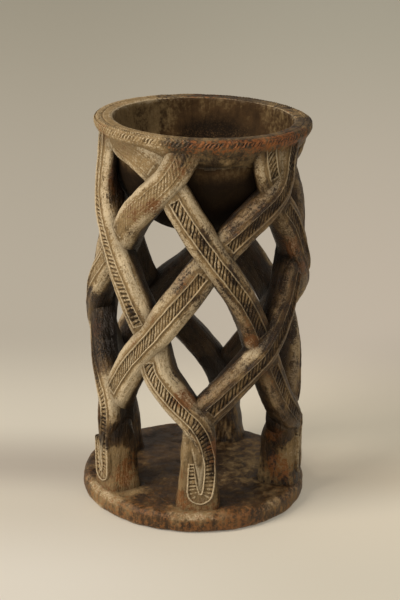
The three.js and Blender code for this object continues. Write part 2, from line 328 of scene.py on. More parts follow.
def smooth_line(stations):
    """Unrolled x, height, radius, width and depth every fraction of a millimetre."""
    rows = np.array(stations, float)
    turns = np.radians(np.diff(rows[:, 0], prepend=rows[0, 0]))
    angles = math.radians(rows[0, 0]) + np.cumsum((turns + math.pi) % (2 * math.pi) - math.pi)
    heights = BASE_THICKNESS + rows[:, 1] * DRUM_HEIGHT
    knots = np.column_stack([angles * DRUM_RADIUS, heights, surface_radius(rows[:, 1]) + rows[:, 2]])
    padded = np.vstack([2 * knots[0] - knots[1], knots, 2 * knots[-1] - knots[-2]])
    line = []
    for i in range(len(knots) - 1):
        p0, p1, p2, p3 = padded[i:i + 4]
        d0, d1, d2 = (math.sqrt(np.linalg.norm(b - a)) for a, b in ((p0, p1), (p1, p2), (p2, p3)))
        m1 = ((p1 - p0) / d0 - (p2 - p0) / (d0 + d1) + (p2 - p1) / d1) * d1
        m2 = ((p2 - p1) / d1 - (p3 - p1) / (d1 + d2) + (p3 - p2) / d2) * d1
        steps = max(1, round(np.linalg.norm(p2 - p1) / ROUTE_STEP))
        t = (np.arange(steps) / steps)[:, None]
        spot = (2 * t**3 - 3 * t**2 + 1) * p1 + (t**3 - 2 * t**2 + t) * m1
        spot = spot + (3 * t**2 - 2 * t**3) * p2 + (t**3 - t**2) * m2
        line.append(np.hstack([spot, rows[i, 3:] + t * (rows[i + 1, 3:] - rows[i, 3:])]))
    return np.vstack([*line, np.hstack([knots[-1], rows[-1, 3:]])])


print("points on its line:", len(smooth_line(drum_stations("looped", 0) + tail_stations(0))))

# %% [markdown]
# The line is handed to Geometry Nodes as a row of joined points. Each point also carries
# vectors for the tree: the way out from the cup's axis, the way across the strap, its
# measures there (half width, half channel, depth) and how it is carved. The depth is
# capped where the bowl is behind the strap, so no strap breaks through into the bowl.

# %% Turn a line into a mesh of joined points that carries vectors
RIDGE_OFFSET = 3.5
RIDGE_WIDTH = 1.0
CHANNEL_END = 11.8
BOWL_BITE = 1.5


def joined_points(name, places, vectors, closed=False):
    """A mesh of points in a row, with named vectors on them."""
    mesh = bpy.data.meshes.new(name)
    count = len(places)
    edges = [(i, i + 1) for i in range(count - 1)] + ([(count - 1, 0)] if closed else [])
    mesh.from_pydata([tuple(p) for p in places], edges, [])
    for label, values in vectors.items():
        layer = mesh.attributes.new(label, "FLOAT_VECTOR", "POINT")
        layer.data.foreach_set("vector", np.asarray(values, np.float32).ravel())
    return mesh


def strap_route(name, stations, carving, unders):
    """The route of a strap in metres, ready for the tree."""
    line = smooth_line(stations)
    share = (line[:, 1] - BASE_THICKNESS) / DRUM_HEIGHT
    # most straps have whole strokes and ridges, and no strokes right across
    table = np.array([[at, slant, *(given or (1, 1, 0))] for at, slant, *given in carving], float)
    slant, strokes, ridges, wide = (np.interp(share, table[:, 0], table[:, i]) for i in range(1, 5))
    # the channel closes with a small end ridge where the strap dives under another
    travelled = np.cumsum(np.linalg.norm(np.diff(line[:, :2], axis=0, prepend=line[:1, :2]), axis=1))
    end_ridge = 0 * travelled
    for _, under in unders:
        away = np.abs(travelled - travelled[np.argmin(np.abs(share - under))])
        still_open = smooth(away, CHANNEL_END - 0.5, CHANNEL_END + 0.1)
        strokes, ridges = strokes * still_open, ridges * still_open
        end_ridge = np.maximum(end_ridge, np.exp(-((away - CHANNEL_END) / 0.5) ** 2))
    angle, radius = line[:, 0] / DRUM_RADIUS, line[:, 2]
    spine = np.column_stack([radius * np.sin(angle), -radius * np.cos(angle), line[:, 1]])
    outward = np.column_stack([np.sin(angle), -np.cos(angle), np.zeros(len(angle))])
    along = np.gradient(spine, axis=0)
    across = np.cross(along, outward)
    across /= np.linalg.norm(across, axis=1)[:, None]
    half = line[:, 3] / 2
    channel = np.minimum(RIDGE_OFFSET, half - RIDGE_WIDTH)
    # from a little below the bowl upwards, the strap's back gives way to the bowl's wall
    room = radius - bowl_outside(line[:, 1] + 6) + BOWL_BITE
    behind_bowl = smooth(line[:, 1], BOWL_BOTTOM - 12, BOWL_BOTTOM + 4)
    depth = np.minimum(line[:, 4], line[:, 4] + behind_bowl * (room - line[:, 4]))
    measures = np.column_stack([half, channel, depth])
    return joined_points(name, spine * MM, {
        "outward": outward, "across": across, "measures": measures * MM,
        "carving": np.column_stack([strokes, ridges, wide]),
        "stroke": np.column_stack([slant, end_ridge, 0 * slant])})


# %% [markdown]
# ## The section of a strap
#
# Cut across, a strap shows two thin ridges with a sunken channel between them, flanks
# that fall away in a quarter circle, and a plain back. The section is a closed row of points
# too. Each point stores a recipe: how many half widths, half channels and depths it lies
# from the middle. The same recipe then fits the wide drum and the narrow tail.

# %% The section, from the back's left corner round the face and back again
CHANNEL_DEPTH = 0.9
CHANNEL_POINTS = 14
RIDGE_FOOT = 1.22
SHOULDER = 0.75
WIDEST = 0.35


def flank(turn):
    """A corner on the rounded flank, from the ridge's foot (0 degrees) to the widest point (90)."""
    out, fall = math.sin(math.radians(turn)), 1 - math.cos(math.radians(turn))
    return (out, RIDGE_FOOT * (1 - out), -WIDEST * fall, -SHOULDER - 0.65 * fall, 0, 0, 1)


LEFT_HALF = [
    # half widths, half channels, depths, out in mm, share of the stroke, ridge, points to the next
    (0.62, 0, -1.00, 0.0, 0, 0, 2), (0.82, 0, -0.94, 0.0, 0, 0, 2), (0.95, 0, -0.78, 0.0, 0, 0, 2),
    (1.00, 0, -0.58, -0.6, 0, 0, 3), *[flank(turn) for turn in (90, 79, 68, 57, 46, 35, 24, 12)],
    (0, RIDGE_FOOT, 0, -SHOULDER, 0, 0.1, 1), (0, 1.07, 0, -0.1, 0, 0.8, 1), (0, 1.00, 0, 0.12, 0, 1, 1),
    (0, 0.90, 0, -0.1, 0.1, 0.8, 1), (0, 0.79, 0, -CHANNEL_DEPTH, 0.9, 0.1, 1),
    (0, 0.70, 0, -CHANNEL_DEPTH, 1, 0, 1),
]


def section_mesh(name, half):
    """The section as a closed row of points with their recipes."""
    table = np.array(half, float)
    left, right = table * [-1, -1, 1, 1, 1, 1, 1], table[::-1].copy()
    left[-1, 6] = CHANNEL_POINTS
    right[:-1, 6], right[-1, 6] = right[1:, 6], 5
    table = np.vstack([left, right])
    rows = []
    for here, there in zip(table, np.roll(table, -1, axis=0)):
        steps = int(here[6])
        share = (np.arange(steps) / steps)[:, None]
        rows.append(here[:6] + share * (there[:6] - here[:6]))
    rows = np.vstack(rows)
    turn = 2 * math.pi * np.arange(len(rows)) / len(rows)
    ring = np.column_stack([np.cos(turn), np.sin(turn), 0 * turn]) * MM
    finish = np.column_stack([rows[:, 3] * MM, rows[:, 4], rows[:, 5]])
    # where a strap has no channel, its face is a low crown with strokes right across
    wide = rows[:, 0] + rows[:, 1] * RIDGE_OFFSET / (STRAP_WIDTH / 2)
    inner = (rows[:, 0] == 0) & (rows[:, 2] == 0)
    crown = np.where(inner, -0.1 - (SHOULDER - 0.1) * (rows[:, 1] / RIDGE_FOOT) ** 2, rows[:, 3])
    across_all = (rows[:, 2] > -0.15) * (1 - smooth(np.abs(wide), 0.6, 0.85))
    plain = np.column_stack([crown * MM, across_all, wide])
    return joined_points(name, ring, {"recipe": rows[:, :3], "finish": finish, "plain": plain}, closed=True)


strap_section = shown("strap_section", section_mesh("strap_section", LEFT_HALF))
print("points round a strap:", len(strap_section.data.vertices))

# %% [markdown]
# ## The Geometry Nodes tree that carves a strap
#
# Curve to Mesh sweeps the section along the route and closes both ends. Every point of
# the skin then knows its station and its recipe, so Set Position can put it in place. The
# short knife strokes repeat all along the channel: dividing the length by the pitch and
# keeping the fraction gives one notch per stroke, and the whole number in front picks a
# random depth and lean for it, as a hand would. Another way is to instance one small cut a
# thousand times, but a carved notch has to bend the surface itself.

# %% Start a tree with named inputs
def new_tree(name, numbers, others):
    """An empty geometry tree, and its inputs."""
    tree = bpy.data.node_groups.new(name, "GeometryNodeTree")
    tree.interface.new_socket("Geometry", in_out="OUTPUT", socket_type="NodeSocketGeometry")
    for label, kind in {"Geometry": "Geometry", **dict.fromkeys(numbers, "Float"), **others}.items():
        tree.interface.new_socket(label, in_out="INPUT", socket_type="NodeSocket" + kind)
    return tree, add(tree, "GroupInput").outputs


def end_tree(tree, geometry, wood, *kinds):
    """Realize the instances, give them the wood and hand them out."""
    for kind in ("RealizeInstances", *kinds):
        geometry = add(tree, kind, {"Geometry": geometry})
    painted = add(tree, "SetMaterial", {"Geometry": geometry, "Material": wood})
    add(tree, "GroupOutput", [painted])
    print("nodes in the tree", tree.name + ":", len(tree.nodes))


carve, given = new_tree("carved strap", ["Row spacing", "Pitch", "Stroke depth", "Wobble", "Seed"],
                        {"Section": "Object", "Wood": "Material"})


# %% Sweep the section along the route
line = add(carve, "MeshToCurve", [given["Geometry"]])
rows = add(carve, "ResampleCurve LENGTH", {"Curve": line, "Length": given["Row spacing"]})
place = add(carve, "InputPosition")
length = add(carve, "SplineParameter").outputs["Length"]
kept = add(carve, "StoreNamedAttribute FLOAT_VECTOR", {"Geometry": rows, "Name": "spine", "Value": place})
kept = add(carve, "StoreNamedAttribute", {"Geometry": kept, "Name": "along", "Value": length})
section = add(carve, "ObjectInfo", [given["Section"]]).outputs["Geometry"]
outline = add(carve, "MeshToCurve", [section])
skin = add(carve, "CurveToMesh", {"Curve": kept, "Profile Curve": outline, "Fill Caps": True})
print("nodes for the sweep:", len(carve.nodes))

# %% The skin's own fields: station vectors, recipe and finish
END_RIDGE_HEIGHT = 0.12
fields = {label: add(carve, "InputNamedAttribute FLOAT_VECTOR", [label]) for label in (
    "spine", "outward", "across", "recipe", "measures", "finish", "plain", "carving", "stroke")}
spine, outward, across = (fields[label] for label in ("spine", "outward", "across"))
along = add(carve, "InputNamedAttribute", ["along"])
fields["sized"] = add(carve, "VectorMath MULTIPLY", [fields["recipe"], fields["measures"]])
sized, recipe, finish, plain, carving, stroke = (
    add(carve, "SeparateXYZ", [fields[label]]).outputs
    for label in ("sized", "recipe", "finish", "plain", "carving", "stroke"))
side = add(carve, "Math ADD", [sized["X"], sized["Y"]])
face = add(carve, "MapRange", [carving["Y"], 0, 1, plain["X"], finish["X"]])
in_channel = add(carve, "Math MAXIMUM", [finish["Y"], finish["Z"]])
closing = add(carve, "Math MULTIPLY", [in_channel, stroke["Y"]], use_clamp=True)
face = add(carve, "MapRange", [closing, 0, 1, face, END_RIDGE_HEIGHT * MM])
out = add(carve, "Math ADD", [sized["Z"], face])
narrow = add(carve, "Math MULTIPLY", [finish["Y"], carving["X"]])
wide = add(carve, "Math MULTIPLY", [plain["Y"], carving["Z"]])
share = add(carve, "Math MAXIMUM", [narrow, wide])
share = add(carve, "Math SUBTRACT", [share, closing], use_clamp=True)
print("fields on the skin:", ", ".join(fields))

# %% One notch per pitch, each with its own depth and width
def cut_strokes(tree, counted, seed, spread, around, widths, slope, strengths, share):
    """How deep each point lies in a stroke. Each whole number is one stroke with its own chance."""
    whole = add(tree, "Math FLOOR", [counted])
    if around:
        whole = add(tree, "Math FLOORED_MODULO", [whole, around])
    seeded = add(tree, "Math MULTIPLY_ADD", [seed, spread, whole])
    chance = add(tree, "TexWhiteNoise 1D", {"W": seeded})
    part = add(tree, "Math FRACT", [counted])
    centred = add(tree, "Math SUBTRACT", [part, 0.5])
    distance = add(tree, "Math ABSOLUTE", [centred])
    near = add(tree, "MapRange", [chance, 0, 1, *widths])
    far = add(tree, "Math ADD", [near, slope])
    notch = add(tree, "MapRange SMOOTHSTEP", [distance, near, far])
    strength = add(tree, "MapRange", [chance, 0, 1, *strengths])
    cut = add(tree, "Math MULTIPLY", [notch, strength])
    return add(tree, "Math MULTIPLY", [cut, share])


leaning = add(carve, "Math MULTIPLY_ADD", [side, stroke["X"], along])
counted = add(carve, "Math DIVIDE", [leaning, given["Pitch"]])
shake = add(carve, "TexNoise", {"Vector": spine, "Scale": 170, "Detail": 1})
uneven = add(carve, "Math MULTIPLY_ADD", [shake, 1.1, counted])
cut = cut_strokes(carve, uneven, given["Seed"], spread=31.7, around=None, widths=(0.18, 0.3), slope=0.13,
                  strengths=(1.0, 0.55), share=share)
dug = add(carve, "Math MULTIPLY", [cut, given["Stroke depth"]])
out = add(carve, "Math SUBTRACT", [out, dug])
print("nodes with the strokes:", len(carve.nodes))

# %% Place the skin, shake it as a hand would, and finish the tree
sideways = add(carve, "VectorMath SCALE", {0: across, "Scale": side})
outwards = add(carve, "VectorMath SCALE", {0: outward, "Scale": out})
spot = add(carve, "VectorMath ADD", [spine, sideways])
spot = add(carve, "VectorMath ADD", [spot, outwards])
drift = add(carve, "TexNoise", {"Vector": spot, "Scale": 75, "Detail": 3}).outputs["Color"]
drift = add(carve, "VectorMath SUBTRACT", [drift, (0.5, 0.5, 0.5)])
drift = add(carve, "VectorMath SCALE", {0: drift, "Scale": given["Wobble"]})
kept = add(carve, "SetPosition", {"Geometry": skin, "Position": spot, "Offset": drift})
ridge = add(carve, "Math MULTIPLY", [finish["Z"], carving["Y"]])
ridge = add(carve, "Math MAXIMUM", [ridge, closing])
# the back and sides of a strap face the bowl inside the drum; the wood paints them dark as shade
behind = add(carve, "MapRange SMOOTHSTEP", [recipe["Z"], -0.25, -0.6])
for label, value in (("cut", cut), ("ridge", ridge), ("behind", behind)):
    kept = add(carve, "StoreNamedAttribute", {"Geometry": kept, "Name": label, "Value": value})
deep = add(carve, "Math ADD", [given["Seed"], out])
flow = add(carve, "CombineXYZ", [side, along, deep])
kept = add(carve, "StoreNamedAttribute FLOAT_VECTOR", {"Geometry": kept, "Name": "flow", "Value": flow})
end_tree(carve, kept, given["Wood"], "SetShadeSmooth")

# %% [markdown]
# ## Running a tree
#
# The modifier is only a tool here. Its inputs are set by the socket's identifier, the
# result is copied to a plain mesh, and the helper object goes away again.

# %% Grow a plain mesh from a route
def grown(name, route, tree, values):
    """The result of a tree on a route, as a plain mesh object."""
    source = shown(name + "_route", route)
    modifier = source.modifiers.new("tree", "NODES")
    modifier.node_group = tree
    for item in tree.interface.items_tree:
        if item.in_out == "INPUT" and item.name in values:
            modifier[item.identifier] = values[item.name]
    graph = bpy.context.evaluated_depsgraph_get()
    mesh = bpy.data.meshes.new_from_object(
        source.evaluated_get(graph), preserve_all_data_layers=True, depsgraph=graph)
    bpy.data.objects.remove(source)
    mesh.name = name
    return shown(name, mesh)


def points_of(piece):
    """The vertices of a piece in millimetres."""
    places = np.empty(3 * len(piece.data.vertices), np.float32)
    piece.data.vertices.foreach_get("co", places)
    return places.reshape(-1, 3).astype(float) / MM


def signed_volume(piece):
    """Volume in cubic centimetres, negative when the faces point inwards."""
    piece.data.calc_loop_triangles()
    corners = np.empty(3 * len(piece.data.loop_triangles), np.int32)
    piece.data.loop_triangles.foreach_get("vertices", corners)
    a, b, c = (points_of(piece)[corners[i::3]] for i in range(3))
    return float(np.einsum("ij,ij->i", a, np.cross(b, c)).sum() / 6000)


def facing_out(piece):
    """Turn the faces round if they point inwards."""
    if signed_volume(piece) < 0:
        piece.data.flip_normals()
    return piece


# %% [markdown]
# ## The ten straps
#
# Each strap was cut by eye, so each has its own pitch and depth of stroke, and its own
# table of how the carving changes on the way up. Most straps carry strokes in a channel
# between two ridges. The upper left end has strokes right across instead, and one upper
# end was left plain.

# %% Pitch and depth of the strokes in mm
STROKES = {
    "looped": [(2.7, 0.9), (3.4, 0.9), (3.2, 0.8), (3.0, 0.8), (2.8, 0.8)],
    "rising": [(3.4, 0.9), (3.0, 0.8), (3.0, 0.8), (2.9, 0.75), (3.1, 0.85)],
}

# %% Carving by share of the height: slant, then strokes, ridges and strokes right across
CARVING = {
    "looped": [
        [(0, 0), (0.14, 0), (0.22, -0.3), (0.38, -0.9), (0.5, -0.3), (0.62, 0.5), (1, 0.9)],
        [(0, 0), (0.16, 0), (0.3, -0.6), (0.45, -1), (0.7, -1.15), (0.87, -1), (0.9, -1, 0, 0.15, 0)],
        [(0, 0), (0.3, -0.8), (1, -1)],
        [(0, 0), (0.3, -0.8), (1, -1.1)],
        [(0, 0), (0.3, -0.4), (1, -1)],
    ],
    "rising": [
        [(0, 1.1)],
        [(0, 1.2)],
        [(0, 1.2)],
        [(0, 1.2), (0.62, 1.2), (0.7, 1.1, 0, 0.1, 0.25), (0.8, 1.2, 0, 0.1, 0.3),
         (0.86, 1.2, 0.5, 0.3, 0.2), (0.96, 1, 0.6, 0.3, 0.2)],
        [(0, 1.6), (0.6, 1.4), (1, 1.1)],
    ],
}

# %% Carve the straps
ROW_SPACING = 0.4
WOBBLE = 1.5
CUT_LEVEL = DRUM_TOP - 0.5
wood = {name: bpy.data.materials.new(name) for name in (
    "carved straps", "carved feet", "carved base", "carved bowl", "carved rim")}


def cut_level(piece, height):
    """Saw a piece off level at a height in mm and close the cut."""
    cut = bmesh.new()
    cut.from_mesh(piece.data)
    everything = cut.verts[:] + cut.edges[:] + cut.faces[:]
    sawn = bmesh.ops.bisect_plane(cut, geom=everything, dist=0.01 * MM, plane_co=(0, 0, height * MM),
                                  plane_no=(0, 0, 1), clear_outer=True)
    border = [edge for edge in sawn["geom_cut"] if isinstance(edge, bmesh.types.BMEdge)]
    bmesh.ops.contextual_create(cut, geom=border)
    cut.to_mesh(piece.data)
    cut.free()


dressed = {}
for kind in ("looped", "rising"):
    for foot, place_name in enumerate(FEET):
        node = f"{kind}_strap_{place_name}"
        low_end = tail_stations(foot) if kind == "looped" else root_stations(foot)
        pitch, depth = STROKES[kind][foot]
        unders = [crossing(kind, foot, row) for row in range(kind == "looped", len(CROSSINGS), 2)]
        stations = drum_stations(kind, foot) + low_end
        route = strap_route(node, stations, CARVING[kind][foot], filter(None, unders))
        strap = facing_out(grown("carved_" + node, route, carve, {
            "Section": strap_section, "Row spacing": ROW_SPACING * MM, "Pitch": pitch * MM,
            "Stroke depth": depth * MM, "Wobble": WOBBLE * MM,
            "Seed": float(foot + 7 * (kind == "rising")), "Wood": wood["carved straps"]}))
        cut_level(strap, CUT_LEVEL)
        dressed[node] = strap
print("straps carved:", len(dressed), "faces on each:", [len(p.data.polygons) for p in dressed.values()])

# %% [markdown]
# ## Bowl, rim and base
#
# These are round, so a second tree sweeps an outline round the axis. The outline is a row
# of points as well, and each point says which way its surface faces and how strongly two
# kinds of stroke cut it: short upright ones on the rim's edge, and a slanted row like a
# cord round its top. The whole numbers of strokes are inputs, so the rows always close.

# %% A tree that turns an outline and nicks it
turning, given = new_tree(
    "turned and nicked", ["Stroke depth", "Out of round", "Unevenness", "Grain", "Sooty outside", "Seed"],
    {"Points round": "Int", "Edge strokes": "Int", "Cord strokes": "Int", "Wood": "Material"})
circle = add(turning, "CurvePrimitiveCircle", [given["Points round"]])
index = add(turning, "InputIndex")
turn = add(turning, "Math DIVIDE", [index, given["Points round"]])
circle = add(turning, "StoreNamedAttribute", {"Geometry": circle, "Name": "turn", "Value": turn})
outline = add(turning, "MeshToCurve", [given["Geometry"]])
skin = add(turning, "CurveToMesh", {"Curve": circle, "Profile Curve": outline})
turn = add(turning, "InputNamedAttribute", ["turn"])
lathe, facing, finish = (
    add(turning, "SeparateXYZ", [add(turning, "InputNamedAttribute FLOAT_VECTOR", [label])]).outputs
    for label in ("lathe", "facing", "finish"))
angle = add(turning, "Math MULTIPLY", [turn, 2 * math.pi])
rightward = add(turning, "Math SINE", [angle])
frontward = add(turning, "Math COSINE", [angle])
backward = add(turning, "Math MULTIPLY", [frontward, -1])


def round_the_axis(out, up):
    """A vector from its part away from the axis and its part upwards."""
    x, y = (add(turning, "Math MULTIPLY", [out, way]) for way in (rightward, backward))
    return add(turning, "CombineXYZ", [x, y, up])


print("nodes for the turned skin:", len(turning.nodes))

# %% The two rows of strokes, which wander a little
upwards = add(turning, "Math MULTIPLY", [finish["Z"], 15])
wander = add(turning, "CombineXYZ", [rightward, frontward, upwards])
wander = add(turning, "TexNoise", {"Vector": wander, "Scale": 30, "Detail": 1})
cuts = []
for label, lean, weight, width in (("Edge strokes", -260, finish["X"], 0.16),
                                   ("Cord strokes", 420, finish["Y"], 0.24)):
    counted = add(turning, "Math MULTIPLY_ADD", [turn, given[label], wander])
    leaning = add(turning, "Math MULTIPLY_ADD", [finish["Z"], lean, counted])
    cuts.append(cut_strokes(turning, leaning, given["Seed"], spread=1, around=given[label],
                            widths=(width, width), slope=0.2, strengths=(0.2, 1.0), share=weight))
cut = add(turning, "Math ADD", cuts)
print("rows of strokes:", len(cuts))

# %% Place the skin: dig the strokes, then press the circle a little out of round
dug = add(turning, "Math MULTIPLY", [cut, given["Stroke depth"]])
inwards = add(turning, "Math MULTIPLY", [dug, -1])
radius, height = (add(turning, "Math MULTIPLY_ADD", [facing[way], inwards, lathe[way]]) for way in "XZ")
twice = add(turning, "Math MULTIPLY_ADD", [angle, 2, -0.6])
press = add(turning, "Math COSINE", [twice])
press = add(turning, "Math SUBTRACT", [press, 1])
press = add(turning, "Math MULTIPLY_ADD", [press, given["Out of round"], 1])
radius = add(turning, "Math MULTIPLY", [radius, press])
placed = add(turning, "SetPosition", {"Geometry": skin, "Position": round_the_axis(radius, height)})
print("nodes up to the placed skin:", len(turning.nodes))

# %% Tool marks: shallow dents that only ever go inwards
UNSHADED_ABOVE = 231
SHADE_PAINTED_BELOW = 219
here = add(turning, "InputPosition")
dents = add(turning, "TexNoise", {"Vector": here, "Scale": given["Grain"], "Detail": 2})
shallow = add(turning, "MapRange", [dents, 0.3, 0.7, -1, 0])
amount = add(turning, "Math MULTIPLY", [shallow, given["Unevenness"]])
dent = add(turning, "VectorMath SCALE", {0: round_the_axis(facing["X"], facing["Z"]), "Scale": amount})
kept = add(turning, "SetPosition", {"Geometry": placed, "Offset": dent})
# the bowl's outside lies in the drum's shade, so it is painted dark where it faces out and down
away = add(turning, "Math SUBTRACT", [facing["X"], facing["Z"]])
shade_painted_outside = add(turning, "MapRange", [away, -0.1, 0.3, 0, given["Sooty outside"]])
# the painted shade on the outside fades near the rim, where light reaches
low = add(turning, "MapRange SMOOTHSTEP", [lathe["Z"], UNSHADED_ABOVE * MM, SHADE_PAINTED_BELOW * MM, 0.3, 1])
shade_painted_outside = add(turning, "Math MULTIPLY", [shade_painted_outside, low])
for label, value in (("cut", cut), ("behind", shade_painted_outside)):
    kept = add(turning, "StoreNamedAttribute", {"Geometry": kept, "Name": label, "Value": value})
closed = add(turning, "MergeByDistance", {"Geometry": kept, "Distance": 0.001 * MM})
end_tree(turning, closed, given["Wood"], "SetShadeSmooth")

# %% An outline as a fine row of points
def outline_route(name, corners, closed=False):
    """Points every fraction of a mm through corners of radius, height, edge, cord and spacing."""
    table = np.array(corners, float)
    ends = np.roll(table, -1, axis=0) if closed else table[1:]
    rows = []
    for here, there in zip(table, ends):
        steps = max(1, round(math.dist(here[:2], there[:2]) / here[4]))
        rows.append(here + (np.arange(steps) / steps)[:, None] * (there - here))
    if not closed:
        rows.append(table[-1:])
    rows = np.vstack(rows)
    ways = np.gradient(np.vstack([rows[-1:], rows, rows[:1]]) if closed else rows, axis=0)
    ways = ways[1:-1] if closed else ways
    facing = np.column_stack([ways[:, 1], 0 * ways[:, 0], -ways[:, 0]])
    # on the axis the surface faces straight up or down, so that the pole's points meet
    facing[rows[:, 0] == 0, 0] = 0
    facing /= np.maximum(np.linalg.norm(facing, axis=1), 1e-9)[:, None]
    travelled = np.cumsum(np.linalg.norm(np.diff(rows[:, :2], axis=0, prepend=rows[:1, :2]), axis=1))
    return joined_points(name, np.column_stack([rows[:, 0], 0 * rows[:, 0], rows[:, 1]]) * MM, {
        "lathe": np.column_stack([rows[:, 0], 0 * rows[:, 0], rows[:, 1]]) * MM,
        "facing": facing, "finish": np.column_stack([rows[:, 2], rows[:, 3], travelled * MM])}, closed)


def arc(centre, radius, start, stop, steps, extra):
    """Corners along an arc of the outline, from one angle to another in degrees."""
    turns = np.radians(np.linspace(start, stop, steps))
    return [(centre[0] + radius * math.cos(t), centre[1] + radius * math.sin(t), *extra) for t in turns]


# %% [markdown]
# The base is a thick disc with soft edges. The real one is rubbed down to brown wood
# along its edge and has shallow knife marks all over.

# %% The base
base_corners = [
    (0, 0, 0, 0, 3), (BASE_RADIUS - 3.2, 0, 0, 0, 1),
    *arc((BASE_RADIUS - 3.2, 3.2), 3.2, -80, 0, 6, (0, 0, 0.7)),
    *arc((BASE_RADIUS - 4.6, BASE_THICKNESS - 4.6), 4.6, 10, 90, 9, (0, 0, 0.7)),
    (40, BASE_THICKNESS, 0, 0, 1.2), (0, BASE_THICKNESS, 0, 0, 1)]
dressed["base_disc"] = facing_out(grown("carved_base", outline_route("base", base_corners), turning, {
    "Points round": 560, "Unevenness": 0.7 * MM, "Grain": 90.0, "Seed": 3.0, "Wood": wood["carved base"]}))
print("base volume in cm3:", round(signed_volume(dressed["base_disc"])))

# %% [markdown]
# The rim has a flat top with a cord of slanted strokes near its edge, an upright band cut
# with short strokes, and a flare that runs down into the bowl.

# %% The rim
flare = [(BOWL_RADIUS + (RIM_RADIUS - BOWL_RADIUS) * share ** 0.8, RIM_SEAT + share * FLARE_HEIGHT, 0, 0, 0.7)
         for share in np.linspace(0, 0.93, 8)]
rim_corners = [
    (56.4, RIM_SEAT - 2, 0, 0, 2), (BOWL_RADIUS - 0.6, RIM_SEAT - 2, 0, 0, 0.7), *flare,
    (67.6, DRUM_TOP - 0.1, 0.2, 0, 0.4), (68.0, DRUM_TOP + 0.5, 1, 0, 0.4), (68.0, 247.4, 1, 0, 0.3),
    (67.6, 248.0, 0.5, 0, 0.3), (67.0, 247.5, 0, 0, 0.3), (66.5, 248.4, 0, 0.6, 0.3),
    (66.0, 248.9, 0, 1, 0.35), (65.0, 249.0, 0, 1, 0.35), (63.5, 248.9, 0, 1, 0.35),
    (62.9, 248.5, 0, 0.6, 0.3), (62.6, 248.2, 0, 0, 0.3), (62.2, 248.7, 0, 0, 0.35),
    (61.4, 248.85, 0, 0.4, 0.4), (59.0, 248.9, 0, 0.4, 0.4), (58.2, 248.9, 0, 0, 0.5),
    (57.0, 248.4, 0, 0, 0.5), (56.4, 247.5, 0, 0, 2)]
dressed["rim_ring"] = facing_out(grown("carved_rim", outline_route("rim", rim_corners, True), turning, {
    "Points round": 1100, "Edge strokes": 165, "Cord strokes": 190, "Stroke depth": 0.7 * MM,
    "Out of round": 0.006, "Unevenness": 0.3 * MM, "Grain": 120.0, "Seed": 11.0, "Wood": wood["carved rim"]}))
print("rim volume in cm3:", round(signed_volume(dressed["rim_ring"])))

# %% [markdown]
# The bowl is a hollow round shell. Its collar runs up inside the rim, so no seam shows on
# the inner wall.

# %% The bowl
outer = [(BOWL_RADIUS * math.sin(t), RIM_SEAT - (RIM_SEAT - BOWL_BOTTOM) * math.cos(t), 0, 0, 1)
         for t in np.linspace(0, math.pi / 2, 24)]
inner = [(MOUTH_RADIUS * math.cos(t), CUP_HEIGHT - CAVITY_DEPTH * math.sin(t), 0, 0, 1)
         for t in np.linspace(0.03, math.pi / 2, 26)]
bowl_corners = [*outer, (57.4, RIM_SEAT + 0.5, 0, 0, 1), (57.4, CUP_HEIGHT - 2.6, 0, 0, 0.6),
                (57.1, CUP_HEIGHT - 0.7, 0, 0, 0.6), (56.4, CUP_HEIGHT - 0.55, 0, 0, 0.6), *inner]
# both ends lie exactly on the axis, where the shell closes
for end in (0, -1):
    bowl_corners[end] = (0, *bowl_corners[end][1:])
dressed["bowl"] = facing_out(grown("carved_bowl", outline_route("bowl", bowl_corners), turning, {
    "Points round": 420, "Out of round": 0.006, "Unevenness": 0.7 * MM, "Grain": 70.0,
    "Sooty outside": 0.85, "Seed": 5.0, "Wood": wood["carved bowl"]}))
print("bowl volume in cm3:", round(signed_volume(dressed["bowl"])))

# %% [markdown]
# ## The five feet
#
# A foot is a squarish stump that flares where it meets the base and leans towards the
# crossing above it. One loft of rounded squares makes it, with broad knife facets pressed
# into its sides. Its face comes forward to just below the loop that is carved on it, and
# its top rounds over where the straps grow out of it.

# %% Loft a stump
FOOT_TOPS = [0.235, 0.242, 0.165, 0.22, 0.222]
FOOT_DEPTH = 21
FOOT_HALF_WIDTH = 12.4
FOOT_FLARE = 4.0
BACK_SLOPE = 6.5
TONGUE_HALF_WIDTH = 4.2
FACE_DROP = 2.3
TOP_ROUNDING = 0.11
TONGUE_LOW = 24
TONGUE_HIGH = 54


